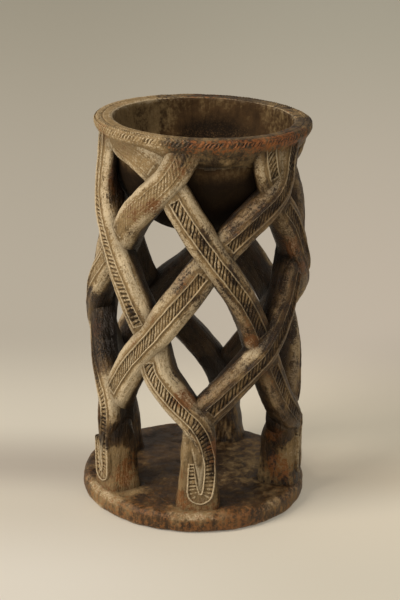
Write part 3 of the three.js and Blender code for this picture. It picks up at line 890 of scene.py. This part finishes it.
def stump(name, foot, rings=110, around=220):
    """A closed loft in the place of a foot, as mesh code."""
    share = np.linspace(0, 1, rings)[:, None]
    turn = (np.arange(around) / around * 2 * math.pi)[None, :]
    toward = (crossing("looped", foot, 0)[0] - FOOT_ANGLES[foot] + 180) % 360 - 180
    angle = np.radians(FOOT_ANGLES[foot] + 0.6 * smooth(share, 0.3, 1) * toward)
    flare = FOOT_FLARE * (1 - share) ** 4
    set_back = FOOT_SET_BACKS[foot] * (1 - smooth(share, 0, 1))
    face = DRUM_RADIUS - set_back - FACE_DROP - 0.8 * smooth(share, 0.7, 1)
    back = DRUM_RADIUS - 4 - FOOT_DEPTH + BACK_SLOPE * smooth(share, 0.45, 0.95)
    squared = lambda value: np.sign(value) * np.abs(value) ** 0.62
    facets = 0.3 * np.sin(3 * turn + 5 * share + foot) * np.sin(4 * share * math.pi + 2 * turn)
    rounding = np.sqrt(np.clip(1 - (np.clip(share - 1 + TOP_ROUNDING, 0, 1) / TOP_ROUNDING) ** 2, 0.02, 1))
    half_width = (FOOT_HALF_WIDTH * (1 - 0.2 * share) + flare / 2 + facets) * rounding
    out = (face + back) / 2 + ((face - back + flare) / 2 + facets) * rounding * squared(np.cos(turn))
    side = half_width * squared(np.sin(turn))
    height = BASE_THICKNESS - 0.8 + share * (DRUM_HEIGHT * FOOT_TOPS[foot] + 0.8)
    # a raised tongue fills the loop: it starts in a point and widens upwards
    half_tongue = TONGUE_HALF_WIDTH * (height - TONGUE_LOW) / (TONGUE_HIGH - TONGUE_LOW)
    inside = smooth(half_tongue - np.abs(side - LOOP_SIDE + 0.25 * half_tongue), -0.6, 0.6)
    low_part = 1 - smooth(height, TONGUE_HIGH - 4, TONGUE_HIGH + 6)
    out = out + (FACE_DROP - 0.4) * inside * (np.cos(turn) > 0) * low_part
    x = out * np.sin(angle) + side * np.cos(angle)
    y = -out * np.cos(angle) + side * np.sin(angle)
    skin = np.stack([x, y, np.broadcast_to(height, x.shape)], axis=2).reshape(-1, 3)
    mesh = bpy.data.meshes.new(name)
    ring = np.arange(around)
    following = (ring + 1) % around
    faces = [(r * around + a, r * around + b, (r + 1) * around + b, (r + 1) * around + a)
             for r in range(rings - 1) for a, b in zip(ring, following)]
    caps = [tuple(ring[::-1]), tuple((rings - 1) * around + ring)]
    mesh.from_pydata((skin * MM).tolist(), [], [tuple(map(int, face)) for face in faces + caps])
    mesh.shade_smooth()
    mesh.materials.append(wood["carved feet"])
    return facing_out(shown(name, mesh))


for foot, place_name in enumerate(FEET):
    dressed[f"foot_{place_name}"] = stump(f"carved_foot_{place_name}", foot)
print("feet volumes in cm3:", [round(signed_volume(dressed["foot_" + name])) for name in FEET])

# %% [markdown]
# ## Where grime and painted shade gather, and where edges rub
#
# Grime gathers where one carved form runs into the next, and the wood paints shade there as
# well. A third, small tree measures how far every point of a piece is from its neighbours
# and stores it, so that the wood can read it as a colour. The neighbours are the plain CAD
# nodes, which are quick to measure against. The same tree finds crests and hollows: it
# blurs the positions, and a point that stands proud of the blurred surface is on a crest,
# which hands and dust touch first and which the wood gives a painted highlight.

# %% A tree that stores nearness, small crests and broad edges
nearness, given = new_tree("near the neighbours", ["Reach"], {"Neighbours": "Object", "Wood": "Material"})
others = add(nearness, "ObjectInfo", [given["Neighbours"]]).outputs["Geometry"]
gap = add(nearness, "Proximity FACES", [others]).outputs["Distance"]
near = add(nearness, "MapRange SMOOTHSTEP", [gap, 0, given["Reach"], 1, 0])
kept = add(nearness, "StoreNamedAttribute", {"Geometry": given["Geometry"], "Name": "near", "Value": near})
position = add(nearness, "InputPosition")
normal = add(nearness, "InputNormal")
for label, iterations, full_height in (("crest", 8, 0.4), ("edge", 60, 1.5)):
    blurred = add(nearness, "BlurAttribute FLOAT_VECTOR", {"Value": position, "Iterations": iterations})
    proud = add(nearness, "VectorMath SUBTRACT", [position, blurred])
    proud = add(nearness, "VectorMath DOT_PRODUCT", [proud, normal])
    proud = add(nearness, "Math DIVIDE", [proud, full_height * MM])
    kept = add(nearness, "StoreNamedAttribute", {"Geometry": kept, "Name": label, "Value": proud})
end_tree(nearness, kept, given["Wood"])


def all_but(node):
    """One mesh object of every other CAD node."""
    places, faces = [], []
    for name, part in frame["nodes"].items():
        if name != node:
            faces += [[len(places) + i for i in f.vertices] for f in part.data.polygons]
            places += [tuple(v.co) for v in part.data.vertices]
    mesh = bpy.data.meshes.new("others")
    mesh.from_pydata(places, [], faces)
    return shown("others", mesh)


# %% Measure every piece
for node, piece in list(dressed.items()):
    others = all_but(node)
    name, mesh = piece.name, piece.data
    bpy.data.objects.remove(piece)
    dressed[node] = grown(name, mesh, nearness, {
        "Neighbours": others, "Reach": 6 * MM, "Wood": mesh.materials[0]})
    dressed[node].name = name
    bpy.data.objects.remove(others)
print("pieces measured:", len(dressed))

# %% [markdown]
# ## Where dust lies, where light and shade are painted, and where hands rub
#
# Pale dust stays on the upper left of the drum, in the loop on the front foot and along
# the base. Some of these places also paint light onto faces in shade, such as the bowl's
# inner left wall and the left flank of the front foot. Orange-brown wood shows on the rim's
# edge and at a few knocks. Each place is an angle, a height, a reach and a strength, and
# every point of the wood adds up what it is near to. A strength below zero paints shade,
# such as on the bowl's floor and far wall, under the rim's band and in the recess by the
# left strap. Only these soft places are listed one by one; the mottling inside them is noise.

# %% Soft places of dust, painted light, painted shade and wear: angle, height, reach in mm, strength, and radius where not the drum's
# above zero dust, and painted light on a few faces in shade; below zero painted shade
DUST_AND_PAINTED_SHADING = [
    (-78, 215, 30, 0.75), (-74, 170, 26, 0.75), (-58, 140, 20, 0.7), (-48, 105, 26, 1.1),
    (-52, 80, 18, 0.7), (-35, 232, 18, 0.75), (-20, 222, 18, 1.05), (-42, 205, 18, 1.0),
    (-62, 232, 16, 0.5), (-15, 130, 24, 0.95), (-86, 100, 12, 0.8), (-74, 121, 14, -1.3, 64),
    (-67, 108, 13, -1.3, 65), (-62, 97, 12, -1.2, 67), (-30, 246, 20, 0.4), (-60, 246, 24, 0.6),
    (-90, 247, 30, 0.6), (6, 30, 11, 0.9), (0, 18, 10, 1.0), (-4, 40, 8, 0.6), (-6, 14, 8, 0.9, 68),
    (8, 14, 8, 0.7, 68), (-64, 30, 14, 1.1), (-52, 24, 9, 1.4, 64), (-56, 15, 10, 1.2, 66),
    (-53, 36, 7, 1.0, 63), (-46, 14, 8, 0.6, 58), (-12, 68, 20, 0.8), (-28, 90, 20, 0.9),
    (25, 120, 14, 0.3), (30, 117, 6, 1.0, 63), (38, 228, 12, 0.45), (15, 165, 26, 0.35),
    (-5, 190, 24, 0.55), (55, 190, 24, 0.2), (30, 88, 22, 0.15), (70, 30, 7, 1.1, 63), (76, 42, 10, 0.6),
    (66, 60, 12, -0.6, 60), (62, 34, 9, -0.5, 56), (-60, 15, 10, 0.5), (55, 7, 30, 0.3), (-55, 9, 30, 0.6),
    (-60, 215, 7, -1.2, 58), (-60, 204, 7, -1.0, 59), (-62, 224, 8, -0.9, 56), (0, 30, 9, 0.6, 65),
    (4, 44, 9, 0.6, 66), (-46, 48, 14, -0.7, 59), (-68, 52, 10, -0.4, 64), (0, 186, 34, -1.2, 0),
    (175, 217, 16, -1.5, 50), (-160, 215, 16, -1.2, 50), (150, 216, 16, -1.3, 50),
    (-125, 214, 16, -0.8, 50), (125, 215, 15, -0.8, 50), (-110, 242, 30, 0.7, 52), (110, 240, 30, 0.6, 52),
    (12, 226, 16, 0.6, 58), (150, 150, 60, 0.3), (240, 120, 60, 0.4), (200, 220, 40, 0.35),
    (110, 100, 50, 0.3), (-64, 212, 8, 0.7, 70), (-57, 190, 9, 0.7, 71), (-47, 171, 11, 0.6, 71),
    (-38, 155, 11, 0.5), (-6, 52, 9, 0.9, 63), (-8, 30, 9, 1.0, 60), (-122, 240, 20, 0.9, 55),
    (-137, 233, 20, 0.9, 54), (178, 217, 16, -0.9, 46), (40, 234, 10, 0.7, 65), (50, 234, 9, 0.6, 65),
    (85, 13, 26, 0.5, 40), (133, 13, 24, 0.3, 40), (-50, 40, 9, 0.5, 58), (-45, 176, 9, 0.7, 68),
    (-38, 158, 9, 0.5, 68), (-20, 249, 9, 0.4, 63), (0, 249, 9, 0.45, 63), (20, 249, 9, 0.45, 63),
    (45, 249, 9, 0.35, 63), (70, 249, 9, 0.35, 63), (-12, 244, 6, -0.5, 70), (5, 244, 7, -0.5, 70),
    (25, 244, 7, -0.5, 70), (45, 244, 8, -0.5, 70), (64, 244, 8, -0.4, 70), (-30, 236, 12, 0.5, 64),
    (-45, 238, 12, 0.5, 65), (3, 230.5, 4, -0.8, 58.5), (8, 230.5, 4, -0.8, 58.5),
]
RUBBED = [
    (8, 246, 7, 1.3, 69), (16, 246, 7, 1.3, 69), (26, 246, 7, 1.2, 69), (34, 246, 7, 1.4, 69),
    (42, 246, 7, 1.2, 69), (51, 246, 8, 1.4, 69), (-3, 246, 7, 1.3, 69), (-16, 245, 6, 0.7, 69),
    (-45, 240, 8, 0.8), (-66, 243, 8, 1.2), (66, 246, 12, 0.8, 69), (-61, 214, 8, 1.0, 58),
    (-44, 219, 9, 1.0, 62), (-36, 200, 8, 0.9), (-25, 207, 6, 1.0, 68), (-22, 211, 5, 0.8),
    (-12, 231, 8, 0.9, 66), (30.2, 123, 4.5, 2.2, 66), (-2.8, 90, 6, 1.5, 67), (-7, 88, 5, 1.2, 70),
    (-14, 86, 7, 0.7, 66), (62.8, 49, 6.5, 2.2, 56), (66.8, 25, 7, 2.0, 59), (9.7, 58, 5, 1.6, 69),
    (12, 46, 6, 1.0, 68), (-6.5, 36, 5, 0.9, 62.5), (-7, 20, 5, 1.2, 62.3), (-48.6, 24, 5.5, 1.8, 58),
    (-46, 34, 7, 0.9, 57), (-74, 114, 6, 1.0, 67), (69, 161, 9, 1.0, 70), (57, 178, 8, 0.9, 67),
    (60, 143, 9, 0.5), (28, 134, 8, 0.6), (-24, 138, 8, 0.7), (-32, 120, 9, 0.6), (-8, 165, 9, 0.6),
    (8, 150, 8, 0.5), (40, 100, 9, 0.5), (18, 195, 8, 0.5), (4, 6, 16, 0.8), (24, 6, 16, 1.1),
    (-20, 6, 26, 0.8), (-50, 6, 24, 0.7), (60, 6, 24, 0.7), (120, 6, 30, 0.7), (180, 246, 20, 0.6),
    (230, 6, 30, 0.7), (160, 80, 10, 0.8), (270, 30, 8, 0.8), (110, 246, 16, 0.6), (180, 6, 30, 0.6),
    (285, 6, 26, 0.6), (240, 246, 18, 0.6), (120, 170, 10, 0.8), (210, 150, 10, 0.8), (250, 190, 9, 0.8),
]


def soft_places(points, places):
    """How strongly each point lies in the soft places."""
    total = np.zeros(len(points))
    for angle, height, reach, strength, *given in places:
        turn, radius = math.radians(angle), (given or [DRUM_RADIUS])[0]
        centre = np.array([radius * math.sin(turn), -radius * math.cos(turn), height])
        total += strength * np.exp(-((points - centre) ** 2).sum(1) / reach**2)
    return np.clip(total, -1.2, 1.2)


for piece in dressed.values():
    points = points_of(piece)
    for label, places in (("dust", DUST_AND_PAINTED_SHADING), ("rubbed", RUBBED)):
        layer = piece.data.attributes.new(label, "FLOAT", "POINT")
        layer.data.foreach_set("value", soft_places(points, places).astype(np.float32))
print("points painted:", sum(len(piece.data.vertices) for piece in dressed.values()))

# %% [markdown]
# ## The wood
#
# The real material is a dense tropical hardwood, carved with a knife and then darkened by
# years of oil, smoke and handling. To the eye it is a satin dark brown with grime in
# every cut, a thin tan film of dust where no hand reaches, pale dust caught on every crest
# and orange-brown wood where the patina is rubbed away. One function builds that finish
# in layers, from the bottom up, and each part of the cup gets its own strengths. The same
# layers also paint light and shade: highlights on crests, light on a few faces in shade,
# and shade on back faces, in a few soft places and where forms meet.

# %% Grain, knife marks, blotches, flecks and grit
# each pattern's vector, noise scale, detail, and the lowest and highest noise that counts
PATTERNS = [
    # the block's grain stands upright: lines about 1 mm apart, ten times longer than wide
    ("upright", 900, 4, 0, 1),
    # knife marks about 2 mm apart
    ("marked", 480, 3, 0.3, 0.7),
    # blotches of patina about 12 mm across, flecks of about 2 mm and grit of about 1 mm
    ("place", 85, 5, 0.36, 0.64), ("place", 430, 3, 0.3, 0.7), ("place", 1100, 2, 0.3, 0.7),
]


def wood_patterns(tree, place, streaks, follows_strap):
    """The five patterns, and a vector that is squeezed along the knife's way."""
    # knife marks and facets run along a strap, or down the block elsewhere
    source, along = (add(tree, "Attribute flow").outputs["Vector"], 1) if follows_strap else (place, 2)
    upright, marked, hewn = (
        add(tree, "Mapping", {"Vector": vector, "Scale": [share if i == axis else 1 for i in range(3)]})
        for vector, axis, share in ((place, 2, 0.1), (source, along, 0.1), (source, along, 0.35)))
    vectors = {"place": place, "upright": upright, "marked": marked}
    patterns = []
    for vector, scale, detail, low, high in PATTERNS:
        noise = add(tree, "TexNoise", {
            "Vector": vectors[vector], "Scale": scale, "Detail": detail, "Roughness": 0.6})
        patterns.append(add(tree, "MapRange", [noise, low, high, -0.5, 0.5]))
    grain, marks, blotch, fleck, grit = patterns
    # on level tops the upright grain ends in specks, which polish away
    facing = add(tree, "NewGeometry").outputs["Normal"]
    facing = add(tree, "SeparateXYZ", [facing]).outputs["Z"]
    facing = add(tree, "Math ABSOLUTE", [facing])
    strong = add(tree, "MapRange", [facing, 0.6, 0.95, streaks, 0.2 * streaks])
    marks = add(tree, "Math MULTIPLY", [marks, strong])
    return grain, marks, blotch, fleck, grit, hewn


print("patterns:", len(PATTERNS))

# %% [markdown]
# A knife takes off one chip after another, and each chip leaves a small flat place with its
# own tilt. Voronoi cells divide the wood in the same way. The cell's random colour is read
# as a tilt, and the height of a tilted plane inside each cell goes to a Bump node. The same
# tilt also makes each facet's colour a little lighter or darker, as painted shade. Modelled
# facets would need many more faces and look no different at this size.

# %% Knife facets of about 4 by 12 mm, and a weighted sum
FACET_SCALE = 240


def knife_facets(tree, hewn, facet):
    """The bump of the facets, and a painted shade for each: lighter or darker with its tilt."""
    cells = add(tree, "TexVoronoi", {"Vector": hewn, "Scale": FACET_SCALE}).outputs
    tilt = add(tree, "VectorMath SUBTRACT", [cells["Color"], (0.5, 0.5, 0.5)])
    within = add(tree, "VectorMath SUBTRACT", [hewn, cells["Position"]])
    plane = add(tree, "VectorMath DOT_PRODUCT", [tilt, within])
    facets = add(tree, "Bump", {"Height": plane, "Distance": facet, "Strength": 1})
    return facets, add(tree, "SeparateXYZ", [tilt]).outputs["X"]


def weighed(tree, start, *terms, **settings):
    """A start value plus every term times its weight."""
    for term, weight in terms:
        start = add(tree, "Math MULTIPLY_ADD", [term, weight, start], **settings)
    return start


print("a facet in mm:", round(1 / FACET_SCALE / MM, 1))

# %% [markdown]
# The layers go on as they did on the real cup: dark and brown patina, a film of dust, wear,
# pale dust on the crests, and grime in the cuts last. Some layers also carry painted light:
# the patina and the film follow each facet's tilt, the film lights a few faces in shade, the
# pale layer is also a highlight on the crests, and the last layer holds painted shade with
# the grime. Each layer sums what speaks for it and against it, a Map Range turns the sum
# into a share, and a Mix adds its colour.

# %% Layers of patina over carved hardwood
HARDWOOD_IOR = 1.5
TAN_FILM = "#937b55"
PALE_DUST_AND_HIGHLIGHT = "#d3c1a0"
GRIME_AND_SHADE_COLOUR = "#150d05"


def patina(material, dark, brown, bare, film, pale, rub, inner, streaks, mottle, grain_depth, gloss,
           facet, shine=0.32, follows_strap=False):
    """Carved hardwood with grain, rubbed places, dust and grime, and painted light and shade."""
    material.use_nodes = True
    tree = material.node_tree
    tree.nodes.clear()
    place = add(tree, "TexCoord").outputs["Object"]
    cut, ridge, behind, near, dust, rubbed, crest, edge = (
        add(tree, "Attribute " + label).outputs["Fac"]
        for label in ("cut", "ridge", "behind", "near", "dust", "rubbed", "crest", "edge"))
    grain, marks, blotch, fleck, grit, hewn = wood_patterns(tree, place, streaks, follows_strap)
    facets, tilt_shade = knife_facets(tree, hewn, facet)

    # dark and brown patina in blotches, and painted shade that follows each facet's tilt
    tone = weighed(tree, 0.5, (marks, 1), (blotch, mottle), (grit, 0.5 * mottle), (tilt_shade, facet),
                   use_clamp=True)
    colour = add(tree, "Mix RGBA", {"Factor": tone, "A": linear(dark), "B": linear(brown)})

    # a tan film of dust where hands don't reach, thin and streaky; its soft places also paint light onto a
    # few faces in shade, and it follows each facet's tilt
    outward = add(tree, "Math SUBTRACT", [1, behind])
    dust_and_painted_light = add(tree, "Math MULTIPLY", [dust, film], use_clamp=True)
    veil = weighed(tree, 0.25, (dust_and_painted_light, 1.3), (marks, 1), (fleck, 0.6), (blotch, 0.6), (tilt_shade, facet))
    veil = add(tree, "MapRange SMOOTHSTEP", [veil, 0.4, 1.3])
    veil = add(tree, "Math MULTIPLY", [veil, outward])
    colour = add(tree, "Mix RGBA", {"Factor": veil, "A": colour, "B": linear(TAN_FILM)})

    # orange-brown wood where the patina is rubbed away, with ragged borders
    proud = add(tree, "Math MULTIPLY", [edge, 0.3], use_clamp=True)
    worn = weighed(tree, -0.45, (rubbed, rub), (proud, rub), (fleck, 1.2), (marks, 1), (grit, 0.6))
    worn = add(tree, "MapRange SMOOTHSTEP", [worn, 0, 0.9, 0, 0.85])
    colour = add(tree, "Mix RGBA", {"Factor": worn, "A": colour, "B": linear(bare)})

    # pale dust and a painted highlight on crests: ridges, the lands between strokes and the edges of a strap
    high = weighed(tree, 0.05, (crest, 1), (ridge, 0.5), (dust_and_painted_light, 0.5), (worn, -0.4), (marks, 0.9), (grit, 1),
                   (fleck, 0.7), (blotch, 0.3))
    high = add(tree, "MapRange SMOOTHSTEP", [high, 0.55, 1.5, 0, pale])
    dusty = add(tree, "MapRange", [dust_and_painted_light, 0, 0.7, 0.15, 1])
    on_ridge = add(tree, "MapRange", [dust_and_painted_light, 0, 1, 0.28, 0.6])
    on_ridge = add(tree, "Math MULTIPLY", [ridge, on_ridge])
    dusty = add(tree, "Math MAXIMUM", [dusty, on_ridge])
    uncut = add(tree, "Math SUBTRACT", [1, cut], use_clamp=True)
    for share in (outward, dusty, uncut):
        high = add(tree, "Math MULTIPLY", [high, share])
    colour = add(tree, "Mix RGBA", {"Factor": high, "A": colour, "B": linear(PALE_DUST_AND_HIGHLIGHT)})

    # darker in cuts and hollows; grime and painted shade where one form runs into the next; painted shade on
    # back faces and in the soft places below zero
    hollow = weighed(tree, -0.05, (crest, -0.55), use_clamp=True)
    filled = add(tree, "MapRange", [dust_and_painted_light, 0, 1, 0.85, 0.28])
    cut = add(tree, "Math MULTIPLY", [cut, filled])
    painted_shade = add(tree, "Math MULTIPLY", [dust, -0.9], use_clamp=True)
    # a few bright scratches stay in the painted shade
    spared = add(tree, "MapRange", [grit, 0, 0.3, 1, 0.35])
    painted_shade = add(tree, "Math MULTIPLY", [painted_shade, spared])
    grime_and_shade = weighed(tree, 0, (hollow, 1), (cut, 1), (behind, inner), (near, 0.4), (painted_shade, 1), (grit, 0.2))
    grime_and_shade = add(tree, "MapRange", [grime_and_shade, 0, 1, 0, 0.93])
    colour = add(tree, "Mix RGBA", {"Factor": grime_and_shade, "A": colour, "B": linear(GRIME_AND_SHADE_COLOUR)})

    # satin where bare, dull where dusty, with grain and small nicks in the bump
    dull = add(tree, "Math MAXIMUM", [veil, high])
    dull = add(tree, "MapRange", [dull, 0, 0.7, gloss, 0.78])
    relief = weighed(tree, grain, (marks, 1.2), (grit, 0.35))
    bump = add(tree, "Bump", {
        "Height": relief, "Distance": grain_depth * MM, "Strength": 0.9, "Normal": facets})
    shader = add(tree, "BsdfPrincipled", {
        "Base Color": colour, "Roughness": dull, "IOR": HARDWOOD_IOR, "Specular IOR Level": shine,
        "Normal": bump})
    add(tree, "OutputMaterial", {"Surface": shader})


# %% The five finishes
# inner sets how dark the painted shade on back faces is: the straps' backs and the bowl's outside
patina(wood["carved straps"], "#2a1a08", "#6a5130", "#70441f", film=1.0, pale=0.95, rub=1.0, inner=0.75,
       streaks=0.6, mottle=0.9, grain_depth=0.85, gloss=0.35, facet=0.5, shine=0.3, follows_strap=True)
patina(wood["carved feet"], "#211407", "#553f24", "#7c4a1e", film=1.1, pale=0.9, rub=0.9, inner=0.0,
       streaks=0.6, mottle=0.9, grain_depth=0.8, gloss=0.35, facet=0.5, shine=0.3)
patina(wood["carved base"], "#2f2011", "#5e4528", "#84562c", film=0.75, pale=0.95, rub=0.7, inner=0.0,
       streaks=0.45, mottle=0.7, grain_depth=0.5, gloss=0.45, facet=0.3)
patina(wood["carved bowl"], "#3a2a1a", "#634a2d", "#5f4426", film=0.6, pale=0.6, rub=0.5, inner=1.15,
       streaks=0.25, mottle=0.6, grain_depth=0.2, gloss=0.8, facet=0.15, shine=0.12)
patina(wood["carved rim"], "#2a1b0c", "#67553a", "#96592a", film=0.8, pale=0.9, rub=0.8, inner=0.0,
       streaks=0.5, mottle=0.9, grain_depth=0.3, gloss=0.5, facet=0.2)
print("finishes:", ", ".join(wood))

# %% [markdown]
# ## Hand the pieces to the frame
#
# Every dressed piece rides on the one body and stands for its CAD node, which is hidden.

# %% Ride and replace
bpy.data.objects.remove(strap_section)
for node, piece in dressed.items():
    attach(piece, "root")
    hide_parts(node)
print("pieces handed over:", len(dressed))

# %% [markdown]
# ## Floor, camera and light
#
# A photographer would stand the cup on seamless paper. Here the paper is one large pale
# sheet, whose colour changes slowly from front to back and from left to right: painted
# light and shade, with a darker painted shadow band at the left beside the cup. The paper
# also glows a little for camera rays, which paints light into the cup's shadow on it. The
# camera stands about a metre away, looks down by 19 degrees and is turned a little, as the
# photograph was.

# %% The paper
# depth behind the cup's middle in metres, and the paper's colour there at the left and at the right,
# which paints the fall of light; the dark left colour at 0.02 is a painted shadow band
PAPER_SHADING = [(-0.14, "#cac5ba", "#c2bcad"), (-0.03, "#bdb6a8", "#c9c1b0"), (0.02, "#a69e92", "#c7bca8"),
         (0.09, "#c4beb0", "#d5ccb8"), (0.28, "#aba599", "#b8b0a4"), (2.0, "#a5a091", "#b0ac9d")]
PAPER_START, PAPER_END = -0.5, 2.5
PAPER_FILL = 0.3
mesh = bpy.data.meshes.new("paper")
mesh.from_pydata([(-9, -9, 0), (9, -9, 0), (9, 9, 0), (-9, 9, 0)], [], [(0, 1, 2, 3)])
material = bpy.data.materials.new("seamless paper")
material.use_nodes = True
mesh.materials.append(material)
tree = material.node_tree
tree.nodes.clear()
place = add(tree, "TexCoord").outputs["Object"]
floor = add(tree, "SeparateXYZ", [place]).outputs
share = add(tree, "MapRange", [floor["Y"], PAPER_START, PAPER_END])
ramps = []
for side in (1, 2):
    ramp = add(tree, "ValToRGB", [share])
    ramp.color_ramp.interpolation = "EASE"
    for i, row in enumerate(PAPER_SHADING):
        spot = (row[0] - PAPER_START) / (PAPER_END - PAPER_START)
        stop = ramp.color_ramp.elements[i] if i < 2 else ramp.color_ramp.elements.new(spot)
        stop.position = spot
        stop.color = linear(row[side])
    ramps.append(ramp)
# the painted light fans out over the paper, so its left and right part widen towards the back
fan = add(tree, "Math ADD", [floor["Y"], 1])
fan = add(tree, "Math DIVIDE", [floor["X"], fan])
fan = add(tree, "MapRange SMOOTHSTEP", [fan, -0.11, 0.11])
shade = add(tree, "Mix RGBA", {"Factor": fan, "A": ramps[0], "B": ramps[1]})
# the glow for camera, glossy and transmission rays paints light into the shadows on the paper
rays = add(tree, "LightPath").outputs
seen = add(tree, "Math ADD", [rays["Is Camera Ray"], rays["Is Glossy Ray"]])
seen = add(tree, "Math ADD", [seen, rays["Is Transmission Ray"]], use_clamp=True)
fill = add(tree, "Math MULTIPLY", [seen, PAPER_FILL])
shader = add(tree, "BsdfPrincipled", {
    "Base Color": shade, "Roughness": 0.9, "Emission Color": shade, "Emission Strength": fill})
add(tree, "OutputMaterial", {"Surface": shader})
paper = shown("paper", mesh)
paper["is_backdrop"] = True

# %% The camera
FOCAL_PIXELS = 1551.3
PICTURE_HEIGHT = 600
TILT = 0.336  # radians, 19.25 degrees
ROLL = 0.0281  # radians, 1.6 degrees
eye = Vector((0.0012, -0.936, 0.456))
ahead = Vector((0, math.cos(TILT), -math.sin(TILT)))
level_right = Vector((1, 0, 0))
level_up = level_right.cross(ahead)
right = math.cos(ROLL) * level_right + math.sin(ROLL) * level_up
up = -math.sin(ROLL) * level_right + math.cos(ROLL) * level_up
camera_data = bpy.data.cameras.new("camera")
camera_data.sensor_fit = "VERTICAL"
camera_data.sensor_height = 36  # a full frame's longer side, held upright
camera_data.lens = FOCAL_PIXELS / PICTURE_HEIGHT * camera_data.sensor_height
camera = shown("camera", camera_data)
camera.matrix_world = Matrix.Translation(eye) @ Matrix((right, up, -ahead)).transposed().to_4x4()
bpy.context.scene.camera = camera
print("lens in mm:", round(camera_data.lens, 1))

# %% The lights: a broad soft window at the upper left, a weak reflector at the right and a dim room
# name, place and width in metres, and power in watts
LAMPS = [("window", (-2.4, -1.6, 2.3), 2.0, 116), ("reflector", (1.8, -1.4, 0.9), 1.6, 8)]
CUP_MIDDLE = Vector((0, 0, 0.12))
for name, spot, size, power in LAMPS:
    lamp = bpy.data.lights.new(name, "AREA")
    lamp.shape = "DISK"
    lamp.size = size
    lamp.energy = power
    lamp.color = linear("#fff6ea")[:3]
    holder = shown(name, lamp)
    holder.location = spot
    holder.rotation_euler = (CUP_MIDDLE - Vector(spot)).to_track_quat("-Z", "Y").to_euler()
world = bpy.data.worlds.new("room")
world.use_nodes = True
world.node_tree.nodes.clear()
sky = add(world.node_tree, "Background", {"Color": linear("#ece4d8"), "Strength": 0.4})
add(world.node_tree, "OutputWorld", {"Surface": sky})
bpy.context.scene.world = world
bpy.context.scene.view_settings.view_transform = "Standard"

# %% [markdown]
# ## Last measures
#
# The box of the dressed cup is printed in millimetres. The dressed cup has to stay
# inside the box of the CAD part.

# %% Print the dressed box
low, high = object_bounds()
print("dressed box:", [round(1000 * v, 1) for v in (*low, *high)])
